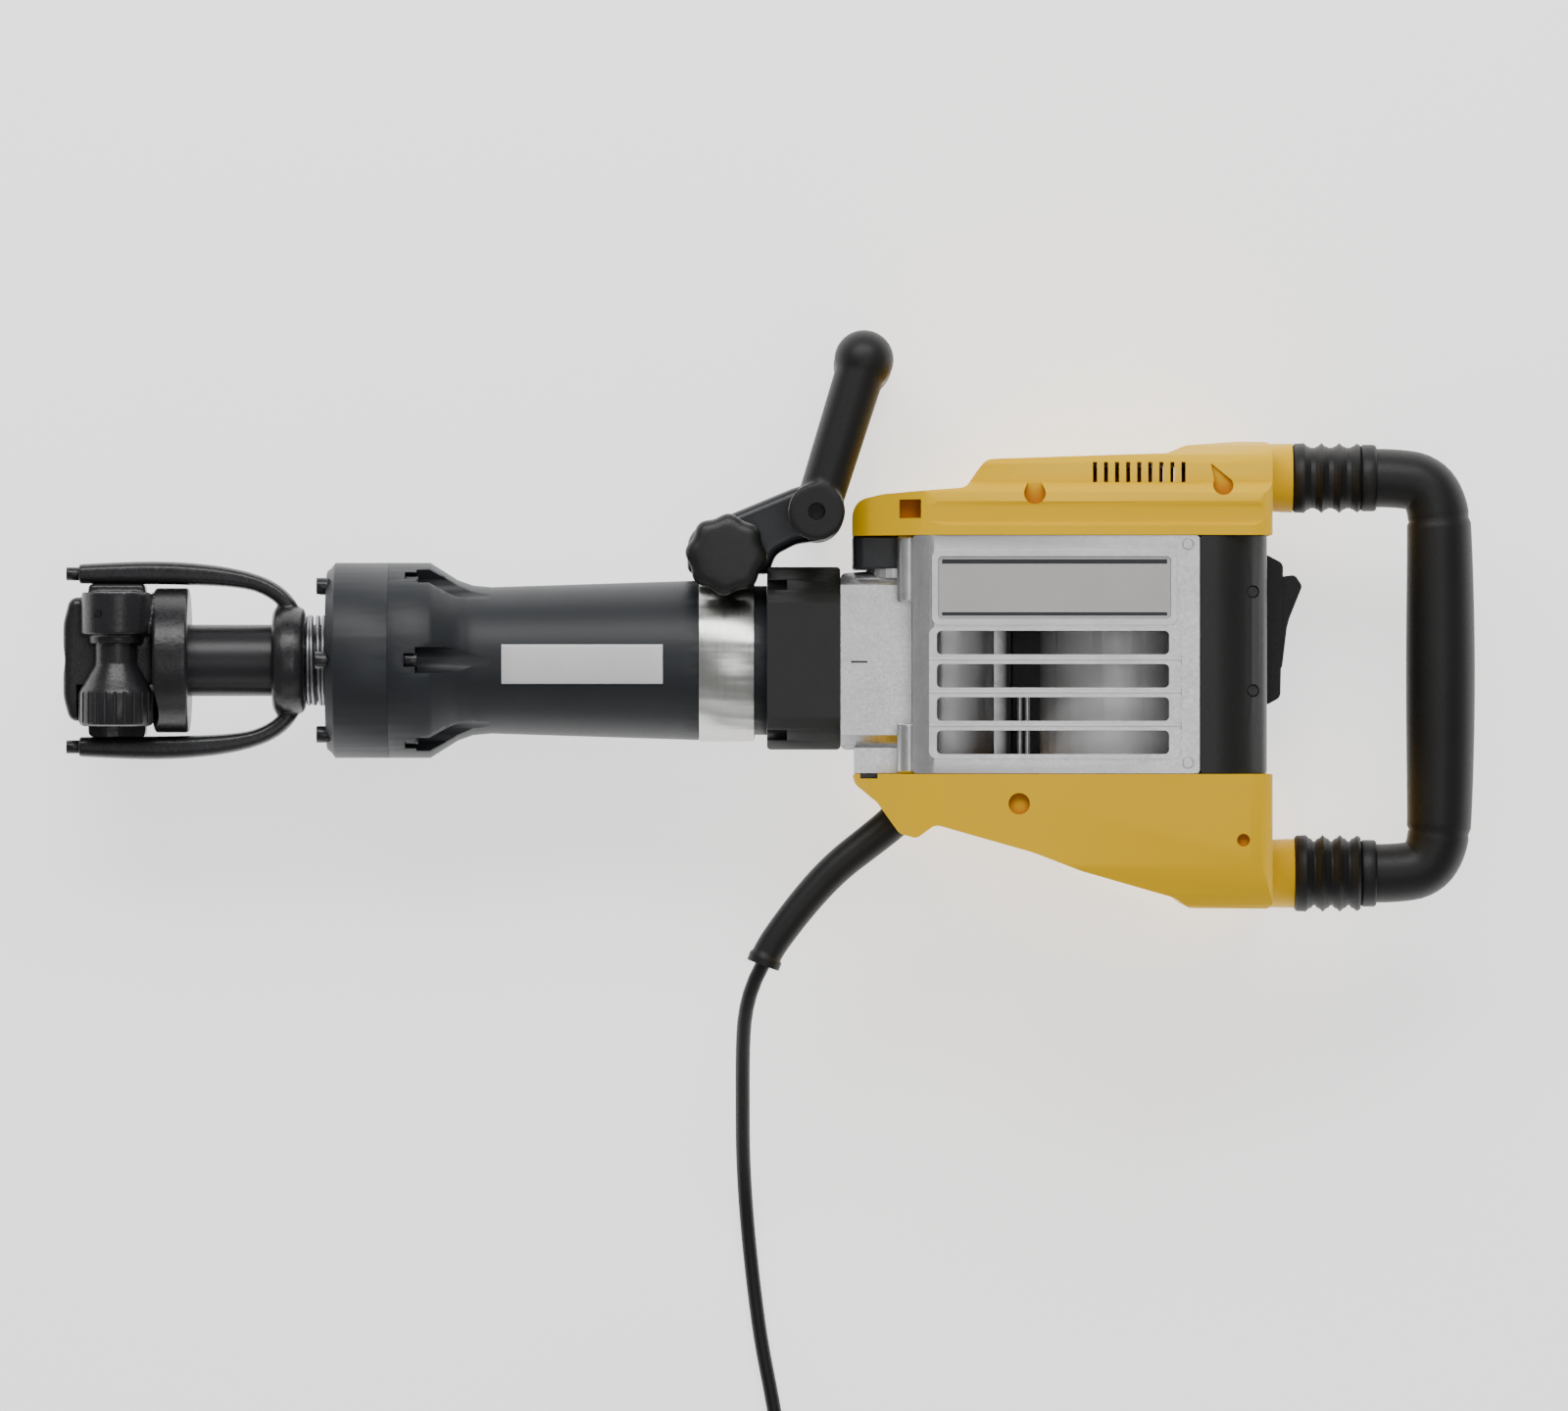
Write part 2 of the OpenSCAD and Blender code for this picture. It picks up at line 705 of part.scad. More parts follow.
module rear_collar() {
    color([0.10, 0.10, 0.11]) placed() difference() {
        intersection() {
            plate(rounded([[barrel_x1 + 0.1, -48, 2], [37.6, -48, 2], [37.6, 50, 2],
                [barrel_x1 + 0.1, 50, 2]]), -48, 48);
            xcyl(-10, 50, 57);
        }
        xcyl(-10, 50, liner_r + gap);
        for (y = [-38, 38], z = [-38, 38]) xcyl(-10, 9, 5, y, z);
    }
}

top_points = [
    [44.3, 66.6, 3], [44.3, 85, 9], [60, 88.5, 20], [104, 92, 8], [115, 107, 8], [210, 110.3, 6],
    [222, 114.6, 6], [250, 117, 30], [268, 116.8, 4], [268, 66.6, 3]
];
bottom_points = [
    [43.3, -60.8, 3], [43.3, -72, 9], [56.5, -78, 5], [73, -94.5, 5], [92, -89, 8],
    [140, -103.5, 40], [165, -115, 30], [218, -130, 20], [236, -132.6, 20], [268, -132.6, 4],
    [268, -60.8, 3]
];
// A cover's outer shape
module cover_solid(points) {
    intersection() {
        plate(rounded(points), -shell_z, shell_z);
        plan_shape(cover_x1, 12, 0);
    }
}

module cover_inside(x0, x1, y0, y1, y2, z) {
    plate(rounded([[x0, y0, 2], [x1, y0, 2], [x1, y2, 4], [x0, y1, 4]]), -z, z);
}

module vent_slots(y0, y1) {
    for (i = [0:vents - 1])
        block([173 + i * 6.1, y0, -200], [176 + i * 6.1, y1, 200]);
}

module top_cover() {
    color([0.98, 0.80, 0.06]) placed() difference() {
        union() {
            cover_solid(top_points);
            xcyl(267.9, neck_x, leg_r + 2.8, leg_top_y);
        }
        difference() {
            union() {
                cover_inside(48, 104, 60, 84, 88, 42.5);
                cover_inside(85, 264.5, 60, 88, 91, shell_z - wall);
                cover_inside(116, 264.5, 80, 103, 106, shell_z - wall);
                xcyl(rib_x - handle_travel - 8.5, 265, 10.5, leg_top_y);
            }
            block([rib_x, 75, -20], [rib_x + 5, 120, 20]);
        }
        xcyl(rib_x - 1, rib_x + 6, rod_r + 0.06, leg_top_y);
        xcyl(264, neck_x + 1, leg_r + 0.5, leg_top_y);
        vent_slots(94.5, 105.5);
        for (s = [0, 1]) mirror([0, 0, s]) zcyl(140, 92, shell_z - 2, shell_z + 1, 5.5);
        for (s = [0, 1]) mirror([0, 0, s]) block([68.7, 75.4, 64], [80.6, 85.9, 90]);
    }
}

module bottom_cover() {
    color([0.98, 0.80, 0.06]) placed() difference() {
        union() {
            cover_solid(bottom_points);
            xcyl(267.9, neck_x + 1, leg_r + 3.8, leg_bottom_y);
        }
        difference() {
            union() {
                cover_inside(47, 92, -80, -73, -55, 42.5);
                plate(rounded([[85, -84, 4], [85, -55, 2], [264.5, -55, 2], [264.5, -128.6, 4],
                    [236, -128.6, 10], [165, -110, 20]]), 3.5 - shell_z, shell_z - 3.5);
            }
            block([rib_x, -130, -20], [rib_x + 5, -95, 20]);
            relief_boss();
        }
        xcyl(rib_x - 1, rib_x + 6, rod_r + 0.06, leg_bottom_y);
        xcyl(264, neck_x + 2, leg_r + 0.5, leg_bottom_y);
        relief_seat();
        for (s = [0, 1]) mirror([0, 0, s]) {
            zcyl(132.5, -82, shell_z - 2, shell_z + 1, 5.5);
            block([48, -63, 44], [57.3, -60, 80]);
        }
    }
}

module rear_cover() {
    outer = rect(shell_x1 + 0.1, shell_y0, rear_x1, shell_y1 - 0.1, 3);
    inner = rect(200, shell_y0 + wall, rear_x1 - wall, shell_y1 - wall, 2);
    color([0.15, 0.16, 0.15]) placed() difference() {
        intersection() {
            plate(outer, 0.5 - shell_z, shell_z - 0.5);
            plan_shape(rear_x1, 28, 0.5);
        }
        intersection() {
            plate(inner, 4 - shell_z, shell_z - 4);
            plan_shape(rear_x1, 28, 4);
        }
        block([rear_x1 - 10, -24, -17], [rear_x1 + 1, 57, 17]);
        block([shell_x1 - 1, 60, -15], [rear_x1 - 10, 70, 15]);
        for (y = [-16.4, 36.4], s = [0, 1]) mirror([0, 0, s]) zcyl(255.5, y, 50, shell_z, 3);
    }
}

// ---- Switch

switch_pivot = [270, 18];

module switch_boot() {
    color([0.06, 0.06, 0.06]) placed() difference() {
        plate(rounded([[rear_x1 + 0.1, -24.3, 1], [274, -20, 4], [275.5, 52, 4], [rear_x1 + 0.1, 57, 1]]),
            -19.5, 19.5);
        block([rear_x1 - 1, -16, -14.3], [290, 50, 14.3]);
        zcyl(switch_pivot[0], switch_pivot[1], -17.6, 17.6, 2.04);
    }
}

module switch_body() {
    color([0.12, 0.12, 0.13]) placed() union() {
        block([234, -12, -13], [256, 46, 13]);
        block([228, -4, -9], [234.1, 6, 9]);
        block([228, 28, -9], [234.1, 38, 9]);
    }
}

module switch_rocker() {
    outline = rounded([[265.5, 10, 2], [266.3, -8, 3], [275, -5, 4], [278, 20, 20], [286, 40, 3],
        [282, 46, 3], [268, 44, 3], [265.5, 26, 2]]);
    color([0.05, 0.05, 0.05]) placed() union() {
        plate(outline, -13.9, 13.9);
        zcyl(switch_pivot[0], switch_pivot[1], -17.5, 17.5, 2);
    }
}

// ---- Rear handle

grip_x0 = tail_x - grip_r;
bend_r = 25;

module leg_bend(y, flip) {
    translate([grip_x0 - bend_r, y - flip * bend_r, 0]) mirror([0, flip < 0 ? 1 : 0, 0])
        rotate_extrude(angle = 90, $fn = 96) translate([bend_r, 0]) circle(r = leg_r + 0.6);
}

module main_handle() {
    color([0.07, 0.07, 0.07]) placed() difference() {
        union() {
            xcyl(leg_x, grip_x0 - bend_r, leg_r, leg_top_y);
            xcyl(leg_x, grip_x0 - bend_r, leg_r, leg_bottom_y);
            xcyl(bellows_x1 + 0.3, bellows_x1 + 8, leg_r + 2, leg_top_y);
            xcyl(bellows_x1 + 0.3, bellows_x1 + 8, leg_r + 2, leg_bottom_y);
            leg_bend(leg_top_y, 1);
            leg_bend(leg_bottom_y, -1);
            ycyl(grip_x0, 0, leg_bottom_y + bend_r, leg_top_y - bend_r, grip_r);
        }
        xcyl(leg_x - 1, leg_x + 12, rod_r + 0.02, leg_top_y);
        xcyl(leg_x - 1, leg_x + 12, rod_r + 0.02, leg_bottom_y);
    }
}

module guide_rods() {
    color([0.70, 0.70, 0.72]) placed() for (y = [leg_top_y, leg_bottom_y]) {
        xcyl(rib_x - 7, rib_x - 0.2, 9, y);
        xcyl(rib_x - 0.3, leg_x + 11.9, rod_r, y);
    }
}

module bellows_one(x0, y, r) {
    translate([0, y, 0]) turned([
        [x0, 16.5], [x0, r - 1], [x0 + 2, r], [x0 + 5, r], [x0 + 8, 17.3], [x0 + 11, r],
        [x0 + 15, r], [x0 + 18, 17.3], [x0 + 21, r], [x0 + 25, r], [x0 + 28, 17.3],
        [x0 + 31, r - 0.5], [bellows_x1 - 1, r - 1], [bellows_x1, 17.3], [bellows_x1, 16.5]]);
}

module bellows() {
    color([0.09, 0.09, 0.09]) placed() {
        bellows_one(neck_x + 0.2, leg_top_y, 19);
        bellows_one(neck_x + 1.2, leg_bottom_y, bottom_reach + leg_bottom_y);
    }
}

module handle_springs() {
    color([0.65, 0.65, 0.66]) placed() for (y = [leg_top_y, leg_bottom_y])
        xtube(rib_x + 5.2, leg_x - 0.2, 9.5, 6.8, y);
}

// ---- Side handle

module clamp_band() {
    color([0.72, 0.73, 0.72]) placed() difference() {
        union() {
            xcyl(band_x0 + 0.3, band_x1 - 0.3, 43.8);
            for (s = [-1, 1]) hull() {
                zcyl(clamp_x, clamp_y, s * 6 - 3, s * 6 + 3, 9);
                block([clamp_x - 13, 38, s * 6 - 3], [clamp_x + 13, 41, s * 6 + 3]);
            }
        }
        xcyl(band_x0 - 1, band_x1 + 1, band_r + 0.06);
        block([band_x0 - 1, 30, -2.9], [band_x1 + 1, 80, 2.9]);
        zcyl(clamp_x, clamp_y, -20, 20, 4.1);
    }
}

module clamp_bolt() {
    color([0.62, 0.62, 0.64]) placed() union() {
        zcyl(clamp_x, clamp_y, -20, 36, 4);
        zcyl(clamp_x, clamp_y, -22, -15.4, 7.5);
    }
}

module clamp_knob() {
    color([0.12, 0.12, 0.13]) placed() difference() {
        union() {
            zcyl(clamp_x, clamp_y, 15.4, 28.6, 10);
            zcyl(clamp_x, clamp_y, 28.5, 50, knob_r);
        }
        zcyl(clamp_x, clamp_y, 10, 36.2, 4.02);
        for (a = [0:45:315])
            translate([clamp_x, clamp_y, 0]) rotate([0, 0, a]) zcyl(knob_r + 4.2, 0, 28, 51, 5.5);
        zcyl(clamp_x, clamp_y, 48, 51, 11);
    }
}

// A forked arm from the clamp's bolt to the stirrup's pivot
module stirrup_yoke() {
    color([0.10, 0.10, 0.11]) placed() difference() {
        union() {
            for (s = [0, 1]) mirror([0, 0, s]) hull() {
                zcyl(clamp_x, clamp_y, 9.2, 15.2, 8.5);
                zcyl(pivot_x, pivot_y, 9.2, 15.2, 11);
            }
            zcyl(pivot_x, pivot_y, -24, 24, 11.5);
        }
        zcyl(clamp_x, clamp_y, -30, 30, 4.1);
        zcyl(pivot_x, pivot_y, -30, 30, 7.06);
    }
}

arm_low = [pivot_x, pivot_y];
arm_high = [grip_x, grip_y];

// Two side arms and the lower cross tube, which turns in the yoke
module stirrup_frame() {
    color([0.10, 0.11, 0.12]) placed() difference() {
        union() {
            for (s = [0, 1]) mirror([0, 0, s]) {
                hull() {
                    zcyl(arm_low[0], arm_low[1], stirrup_half - 11, stirrup_half, 12.2);
                    zcyl(arm_high[0], arm_high[1], stirrup_half - 11, stirrup_half, 11.5);
                }
                zcyl(arm_low[0], arm_low[1], stirrup_half - 12, stirrup_half + 2, 15.3);
                zcyl(arm_high[0], arm_high[1], stirrup_half - 12, stirrup_half + 2, stirrup_grip_r);
                zcyl(arm_low[0], arm_low[1], 24.3, stirrup_half - 10, 12);
            }
            zcyl(arm_low[0], arm_low[1], -30, 30, 7);
        }
        for (s = [0, 1]) mirror([0, 0, s]) {
            zcyl(arm_low[0], arm_low[1], stirrup_half - 6, stirrup_half + 5, 4.5);
            zcyl(arm_high[0], arm_high[1], stirrup_half - 14, stirrup_half + 5, 4.06);
        }
    }
}

module stirrup_grip() {
    color([0.08, 0.08, 0.08]) placed() difference() {
        zcyl(grip_x, grip_y, 12.2 - stirrup_half, stirrup_half - 12.2, stirrup_grip_r - 0.4);
        zcyl(grip_x, grip_y, -90, 90, 4.06);
    }
}

// The through bolt of the grip
module stirrup_bolts() {
    color([0.60, 0.60, 0.62]) placed()
        zcyl(grip_x, grip_y, 1 - stirrup_half, stirrup_half - 1, 4);
}

// ---- Cord

module along_relief() {
    translate([relief_start[0], relief_start[1], 0]) rotate([0, 0, relief_turn]) children();
}

module relief_boss() { along_relief() xcyl(-17, 12, 15); }

module relief_seat() {
    along_relief() {
        xcyl(-14, 40, 10);
        xcyl(-8, -4, 12.2);
    }
}

module strain_relief() {
    color([0.06, 0.06, 0.06]) placed() union() {
        along_relief() {
            xcyl(-13.9, 3, 9.8);
            xcyl(-7.9, -4.1, 12);
        }
        swept(relief_route, 9.4, 7.4, 20);
    }
}

module power_cord() { color([0.05, 0.05, 0.05]) swept(cord_route, cord_d / 2, cord_d / 2); }

module cord_tail() { color([0.05, 0.05, 0.05]) swept(tail_route, cord_d / 2, cord_d / 2); }

module tie_box(r0, r1, z0, z1, w) {
    translate([coil_x, coil_y, 0]) rotate([0, 0, tie_angle]) block([r0, -w, z0], [r1, w, z1]);
}

module cord_coil() {
    r0 = coil_r - coil_half;
    r1 = coil_r + coil_half;
    color([0.05, 0.05, 0.05]) difference() {
        translate([coil_x, coil_y, 0]) rotate_extrude($fn = 96)
            polygon(rect(r0, 0, r1, coil_h, 3.5));
        difference() {
            tie_box(r0 - 5, r1 + 5, -1, coil_h + 5, 5.1);
            tie_box(r0 + 1, r1 - 1, 1, coil_h - 1, 6);
        }
    }
}

module cord_tie() {
    r0 = coil_r - coil_half;
    r1 = coil_r + coil_half;
    color([0.10, 0.10, 0.10]) difference() {
        tie_box(r0, r1, 0, coil_h, 5);
        tie_box(r0 + 0.95, r1 - 0.95, 0.95, coil_h - 0.95, 6);
    }
}

module plug_body() {
    color([0.06, 0.06, 0.06]) difference() {
        union() {
            xcone(plug_x - 24, plug_x, 8, 5, plug_y, plug_z);
            xcyl(plug_x - 44, plug_x - 23.5, 13, plug_y, plug_z);
            xcyl(plug_x - 54, plug_x - 43.9, plug_r, plug_y, plug_z);
        }
        for (s = [-1, 1]) xcyl(plug_x - 60, plug_x - 44, 2.42, plug_y + s * pin_pitch / 2, plug_z);
    }
}

module plug_pins() {
    color([0.75, 0.70, 0.55]) for (s = [-1, 1])
        xcyl(plug_x - 72, plug_x - 44.1, 2.4, plug_y + s * pin_pitch / 2, plug_z);
}

// ---- What is drawn

tool_head();
lock_pin();
retainer_yoke();
retainer_bolts();
retainer_spring();
tool_sleeve();
nose_cover();
nose_seal();
flange_bolts();
barrel();
barrel_badge();
beat_piece();
beat_guide();
impact_damper();
cylinder_liner();
ram();
piston();
wrist_pin();
connecting_rod();
crankshaft();
crank_gear();
idler_gear();
crank_bearings();
crankcase();
gearbox_lid();
motor_tube();
stator();
armature();
commutator();
fan();
motor_bracket();
brush_holders();
side_shell_near();
side_shell_far();
name_plates();
rear_collar();
top_cover();
bottom_cover();
rear_cover();
switch_boot();
switch_body();
switch_rocker();
main_handle();
guide_rods();
bellows();
handle_springs();
clamp_band();
clamp_bolt();
clamp_knob();
stirrup_yoke();
stirrup_frame();
stirrup_grip();
stirrup_bolts();
strain_relief();
power_cord();
cord_coil();
cord_tail();
cord_tie();
plug_body();
plug_pins();
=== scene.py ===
"""The looks of a demolition hammer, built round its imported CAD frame."""

import json
import math

import bmesh
import bpy
from mathutils import Matrix, Vector


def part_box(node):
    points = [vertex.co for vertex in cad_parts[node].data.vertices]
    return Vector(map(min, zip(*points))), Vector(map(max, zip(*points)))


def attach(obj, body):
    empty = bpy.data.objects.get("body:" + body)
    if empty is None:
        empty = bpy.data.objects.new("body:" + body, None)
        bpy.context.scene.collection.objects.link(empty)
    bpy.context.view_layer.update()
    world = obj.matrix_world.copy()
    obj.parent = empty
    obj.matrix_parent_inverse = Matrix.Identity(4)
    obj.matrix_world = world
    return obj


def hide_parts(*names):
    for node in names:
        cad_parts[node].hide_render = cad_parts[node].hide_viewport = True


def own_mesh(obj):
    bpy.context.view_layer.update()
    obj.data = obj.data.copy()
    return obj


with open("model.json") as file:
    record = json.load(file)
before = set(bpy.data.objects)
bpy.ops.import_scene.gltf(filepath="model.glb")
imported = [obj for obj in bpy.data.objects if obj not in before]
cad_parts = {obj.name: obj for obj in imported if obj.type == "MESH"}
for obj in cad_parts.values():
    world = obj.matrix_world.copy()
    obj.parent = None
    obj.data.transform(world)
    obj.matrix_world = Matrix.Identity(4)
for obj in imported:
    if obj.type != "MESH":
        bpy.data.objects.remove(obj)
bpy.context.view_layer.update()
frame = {"nodes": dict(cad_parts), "record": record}

# Sizes below are in millimetres, measured from a point on the hammer's axis, unless they say
# otherwise: X runs back along it, Y up through the stirrup, and Z up from the floor
MM = 0.001
HALF_WIDTH = 82          # of the housing, which lies with its far side on the floor
GRIP_TOP_Y, GRIP_LOW_Y = 98.2, -114.7      # the two ends of the rear grip
LOCK_X, LOCK_Z = -351, 26                  # the lock pin's line
PIVOT_X, PIVOT_Y = 24.8, 79.2              # the stirrup's pivot
KNOB_X, KNOB_Y = -23.5, 56.5               # the clamp knob's line
WINDOW_Y, WINDOW_STEP = 9.2, 17.7          # the first louvre window and the step to the next
LINER_LOW, LINER_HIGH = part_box("cylinder_liner")
AXIS_Y = (LINER_LOW[1] + LINER_HIGH[1]) / 2
AXIS_Z = (LINER_LOW[2] + LINER_HIGH[2]) / 2
TO_ROW = Matrix.Translation((0, AXIS_Y, AXIS_Z)) @ Matrix.Scale(MM, 4)
NODE_SLOT = {s["node"]: s["material_slot"] for s in frame["record"]["subparts"]}


# ---- Camera, lights and floor

VIEW_W = 0.8445          # width of the view at the hammer's axis, in metres
VIEW_X, VIEW_Y = 0.0074, -0.0446
LENS, SENSOR = 300.0, 36.0


def add_camera():
    """A long lens straight above the hammer."""
    data = bpy.data.cameras.new("camera")
    data.lens = LENS
    data.sensor_width = SENSOR
    data.clip_end = 50
    camera = bpy.data.objects.new("camera", data)
    camera.location = (VIEW_X, VIEW_Y, AXIS_Z + VIEW_W * LENS / SENSOR)
    bpy.context.scene.collection.objects.link(camera)
    bpy.context.scene.camera = camera


def add_light(name, place, target, size, energy):
    data = bpy.data.lights.new(name, "AREA")
    data.shape = "RECTANGLE"
    data.size, data.size_y = size
    data.energy = energy
    light = bpy.data.objects.new(name, data)
    light.location = place
    light.visible_camera = False
    light.rotation_euler = (Vector(target) - Vector(place)).to_track_quat("-Z", "Y").to_euler()
    bpy.context.scene.collection.objects.link(light)


def add_studio():
    add_light("key", (-0.1, 1.35, 1.5), (0, 0.0, 0.05), (2.2, 0.8), 34)
    add_light("front", (0.3, -0.2, 2.9), (0, 0, 0), (1.3, 1.0), 8)
    add_light("low", (0.1, -1.7, 0.8), (0, 0, 0.08), (2.0, 0.5), 3)
    world = bpy.data.worlds.new("studio")
    world.use_nodes = True
    background = world.node_tree.nodes["Background"]
    background.inputs["Color"].default_value = (1, 1, 1, 1)
    background.inputs["Strength"].default_value = 0.26
    bpy.context.scene.world = world


# ---- Materials

def new_material(name):
    material = bpy.data.materials.new(name)
    material.use_nodes = True
    tree = material.node_tree
    return material, tree, tree.nodes["Principled BSDF"]


def add_noise(tree, scale, detail=3.0, stretch=(1, 1, 1)):
    """A noise texture on the object's own coordinates, stretched along its axes."""
    coords = tree.nodes.new("ShaderNodeTexCoord")
    mapping = tree.nodes.new("ShaderNodeMapping")
    mapping.inputs["Scale"].default_value = stretch
    noise = tree.nodes.new("ShaderNodeTexNoise")
    noise.inputs["Scale"].default_value = scale
    noise.inputs["Detail"].default_value = detail
    tree.links.new(coords.outputs["Object"], mapping.inputs["Vector"])
    tree.links.new(mapping.outputs["Vector"], noise.inputs["Vector"])
    return noise


def ramp(tree, source, stops):
    """A colour ramp whose stops are (place, colour)."""
    node = tree.nodes.new("ShaderNodeValToRGB")
    node.color_ramp.elements[0].position = stops[0][0]
    node.color_ramp.elements[0].color = stops[0][1]
    node.color_ramp.elements[1].position = stops[-1][0]
    node.color_ramp.elements[1].color = stops[-1][1]
    for place, colour in stops[1:-1]:
        element = node.color_ramp.elements.new(place)
        element.color = colour
    tree.links.new(source, node.inputs["Fac"])
    return node


def grey(v):
    return (v, v, v, 1)


def shade(colour, factor):
    return tuple(min(1.0, c * factor) for c in colour) + (1,)


def add_bump(tree, shader, source, strength, distance):
    bump = tree.nodes.new("ShaderNodeBump")
    bump.inputs["Strength"].default_value = strength
    bump.inputs["Distance"].default_value = distance
    tree.links.new(source, bump.inputs["Height"])
    tree.links.new(bump.outputs["Normal"], shader.inputs["Normal"])


def surface(name, colour, metallic, roughness, vary, patch, grain, bump, depth,
            stretch=(1, 1, 1), specular=0.5):
    """A finish whose colour varies in patches, with a fine grain in its gloss and its relief."""
    material, tree, shader = new_material(name)
    patches = add_noise(tree, patch)
    tint = ramp(tree, patches.outputs["Fac"],
                [(0.3, shade(colour, 1 - vary)), (0.7, shade(colour, 1 + vary))])
    tree.links.new(tint.outputs["Color"], shader.inputs["Base Color"])
    fine = add_noise(tree, grain, 4.0, stretch)
    gloss = ramp(tree, fine.outputs["Fac"],
                 [(0.25, grey(roughness[0])), (0.75, grey(roughness[1]))])
    tree.links.new(gloss.outputs["Color"], shader.inputs["Roughness"])
    add_bump(tree, shader, fine.outputs["Fac"], bump, depth)
    shader.inputs["Metallic"].default_value = metallic
    shader.inputs["Specular IOR Level"].default_value = specular
    return material


def mix_in(tree, colour, factor, own, other):
    """Mixes a colour into a material's own; own and other name the mix node's two inputs."""
    shader = tree.nodes["Principled BSDF"]
    tint = shader.inputs["Base Color"].links[0].from_socket
    mix = tree.nodes.new("ShaderNodeMix")
    mix.data_type = "RGBA"
    mix.inputs[other].default_value = colour
    tree.links.new(factor, mix.inputs["Factor"])
    tree.links.new(tint, mix.inputs[own])
    tree.links.new(mix.outputs["Result"], shader.inputs["Base Color"])


def paint_hollow_shade(material, colour, reach):
    """Paints shade into the hollows of a moulding: a deeper colour where less light is let in."""
    tree = material.node_tree
    hollow = tree.nodes.new("ShaderNodeAmbientOcclusion")
    hollow.samples = 8
    hollow.only_local = True
    hollow.inputs["Distance"].default_value = reach
    edge = ramp(tree, hollow.outputs["AO"], [(0.45, grey(0)), (0.85, grey(1))])
    mix_in(tree, colour, edge.outputs["Color"], "B", "A")


BRUSHED = (0.04, 1, 1)       # a grain drawn out along X

# Each finish: colour, metallic, roughness from and to, colour variation, scale of the patches,
# scale of the grain, strength and depth of the relief
MATERIALS = {
    "forged_steel": surface("forged_steel", (0.014, 0.014, 0.016), 0.0, (0.24, 0.40), 0.25, 40, 500,
                            0.40, 0.0003),
    "sleeve_steel": surface("sleeve_steel", (0.014, 0.014, 0.017), 0.0, (0.3, 0.42), 0.15, 60, 900,
                            0.15, 0.0001),
    "worked_steel": surface("worked_steel", (0.30, 0.30, 0.32), 1.0, (0.28, 0.42), 0.1, 60, 700,
                            0.2, 0.0001),
    "zinc_steel": surface("zinc_steel", (0.55, 0.55, 0.57), 1.0, (0.25, 0.4), 0.1, 90, 700, 0.1,
                          0.0001),
    "ground_steel": surface("ground_steel", (0.70, 0.70, 0.72), 1.0, (0.12, 0.25), 0.05, 60, 800,
                            0.05, 0.0001, stretch=BRUSHED),
    "barrel_paint": surface("barrel_paint", (0.017, 0.020, 0.024), 0.0, (0.40, 0.50), 0.12, 25,
                            1400, 0.2, 0.00015, specular=0.42),
    "stainless_band": surface("stainless_band", (0.62, 0.62, 0.59), 1.0, (0.26, 0.34), 0.03, 60,
                              700, 0.03, 0.0001, stretch=(1, 0.03, 0.03)),
    "badge_plate": surface("badge_plate", (0.80, 0.80, 0.80), 0.0, (0.35, 0.45), 0.03, 40, 900,
                           0.05, 0.0001),
    "silver_plate": surface("silver_plate", (0.50, 0.49, 0.47), 0.4, (0.35, 0.45), 0.03, 40, 900,
                            0.08, 0.0001),
    "cast_aluminium": surface("cast_aluminium", (0.66, 0.66, 0.67), 1.0, (0.3, 0.44), 0.07, 45, 650,
                              0.25, 0.00015),
    "motor_paint": surface("motor_paint", (0.85, 0.85, 0.85), 0.25, (0.34, 0.46), 0.05, 45, 600,
                           0.1, 0.0001),
    "laminations": surface("laminations", (0.20, 0.20, 0.21), 1.0, (0.4, 0.6), 0.1, 60, 500, 0.3,
                           0.0001, stretch=(0.1, 4, 0.1)),
    "copper": surface("copper", (0.60, 0.28, 0.13), 1.0, (0.25, 0.4), 0.1, 60, 500, 0.2, 0.0001),
    "brass_parts": surface("brass_parts", (0.62, 0.48, 0.20), 1.0, (0.25, 0.4), 0.1, 60, 500, 0.1,
                           0.0001),
    "bronze_guide": surface("bronze_guide", (0.45, 0.30, 0.13), 1.0, (0.3, 0.45), 0.1, 60, 500, 0.1,
                            0.0001),
    "yellow_plastic": surface("yellow_plastic", (0.95, 0.56, 0.0), 0.0, (0.38, 0.48), 0.02, 12,
                              1500, 0.12, 0.0001, specular=0.16),
    "black_plastic": surface("black_plastic", (0.010, 0.012, 0.010), 0.0, (0.36, 0.5), 0.12, 30,
                             1300, 0.3, 0.00015, specular=0.45),
    "black_metal": surface("black_metal", (0.010, 0.012, 0.015), 0.0, (0.3, 0.42), 0.12, 30, 1200,
                           0.25, 0.00015),
    "soft_rubber": surface("soft_rubber", (0.008, 0.008, 0.008), 0.0, (0.42, 0.56), 0.12, 40, 1100,
                           0.35, 0.0002, specular=0.4),
    "cord_rubber": surface("cord_rubber", (0.008, 0.008, 0.008), 0.0, (0.4, 0.55), 0.12, 40, 900,
                           0.25, 0.0001, specular=0.4),
}
# painted shade: the yellow goes deep orange in its hollows and creases, driven by ambient occlusion
paint_hollow_shade(MATERIALS["yellow_plastic"], (0.55, 0.20, 0.0, 1), 0.012)


def floor_material():
    material = surface("studio_floor", (0.9, 0.9, 0.9), 0.0, (0.6, 0.7), 0.01, 3, 60, 0.02, 0.0001)
    shader = material.node_tree.nodes["Principled BSDF"]
    shader.inputs["Emission Color"].default_value = (1, 1, 1, 1)
    shader.inputs["Emission Strength"].default_value = 1.3
    return material


# ---- Shape helpers. Meshes are built in millimetres from the axis, then moved to the row frame

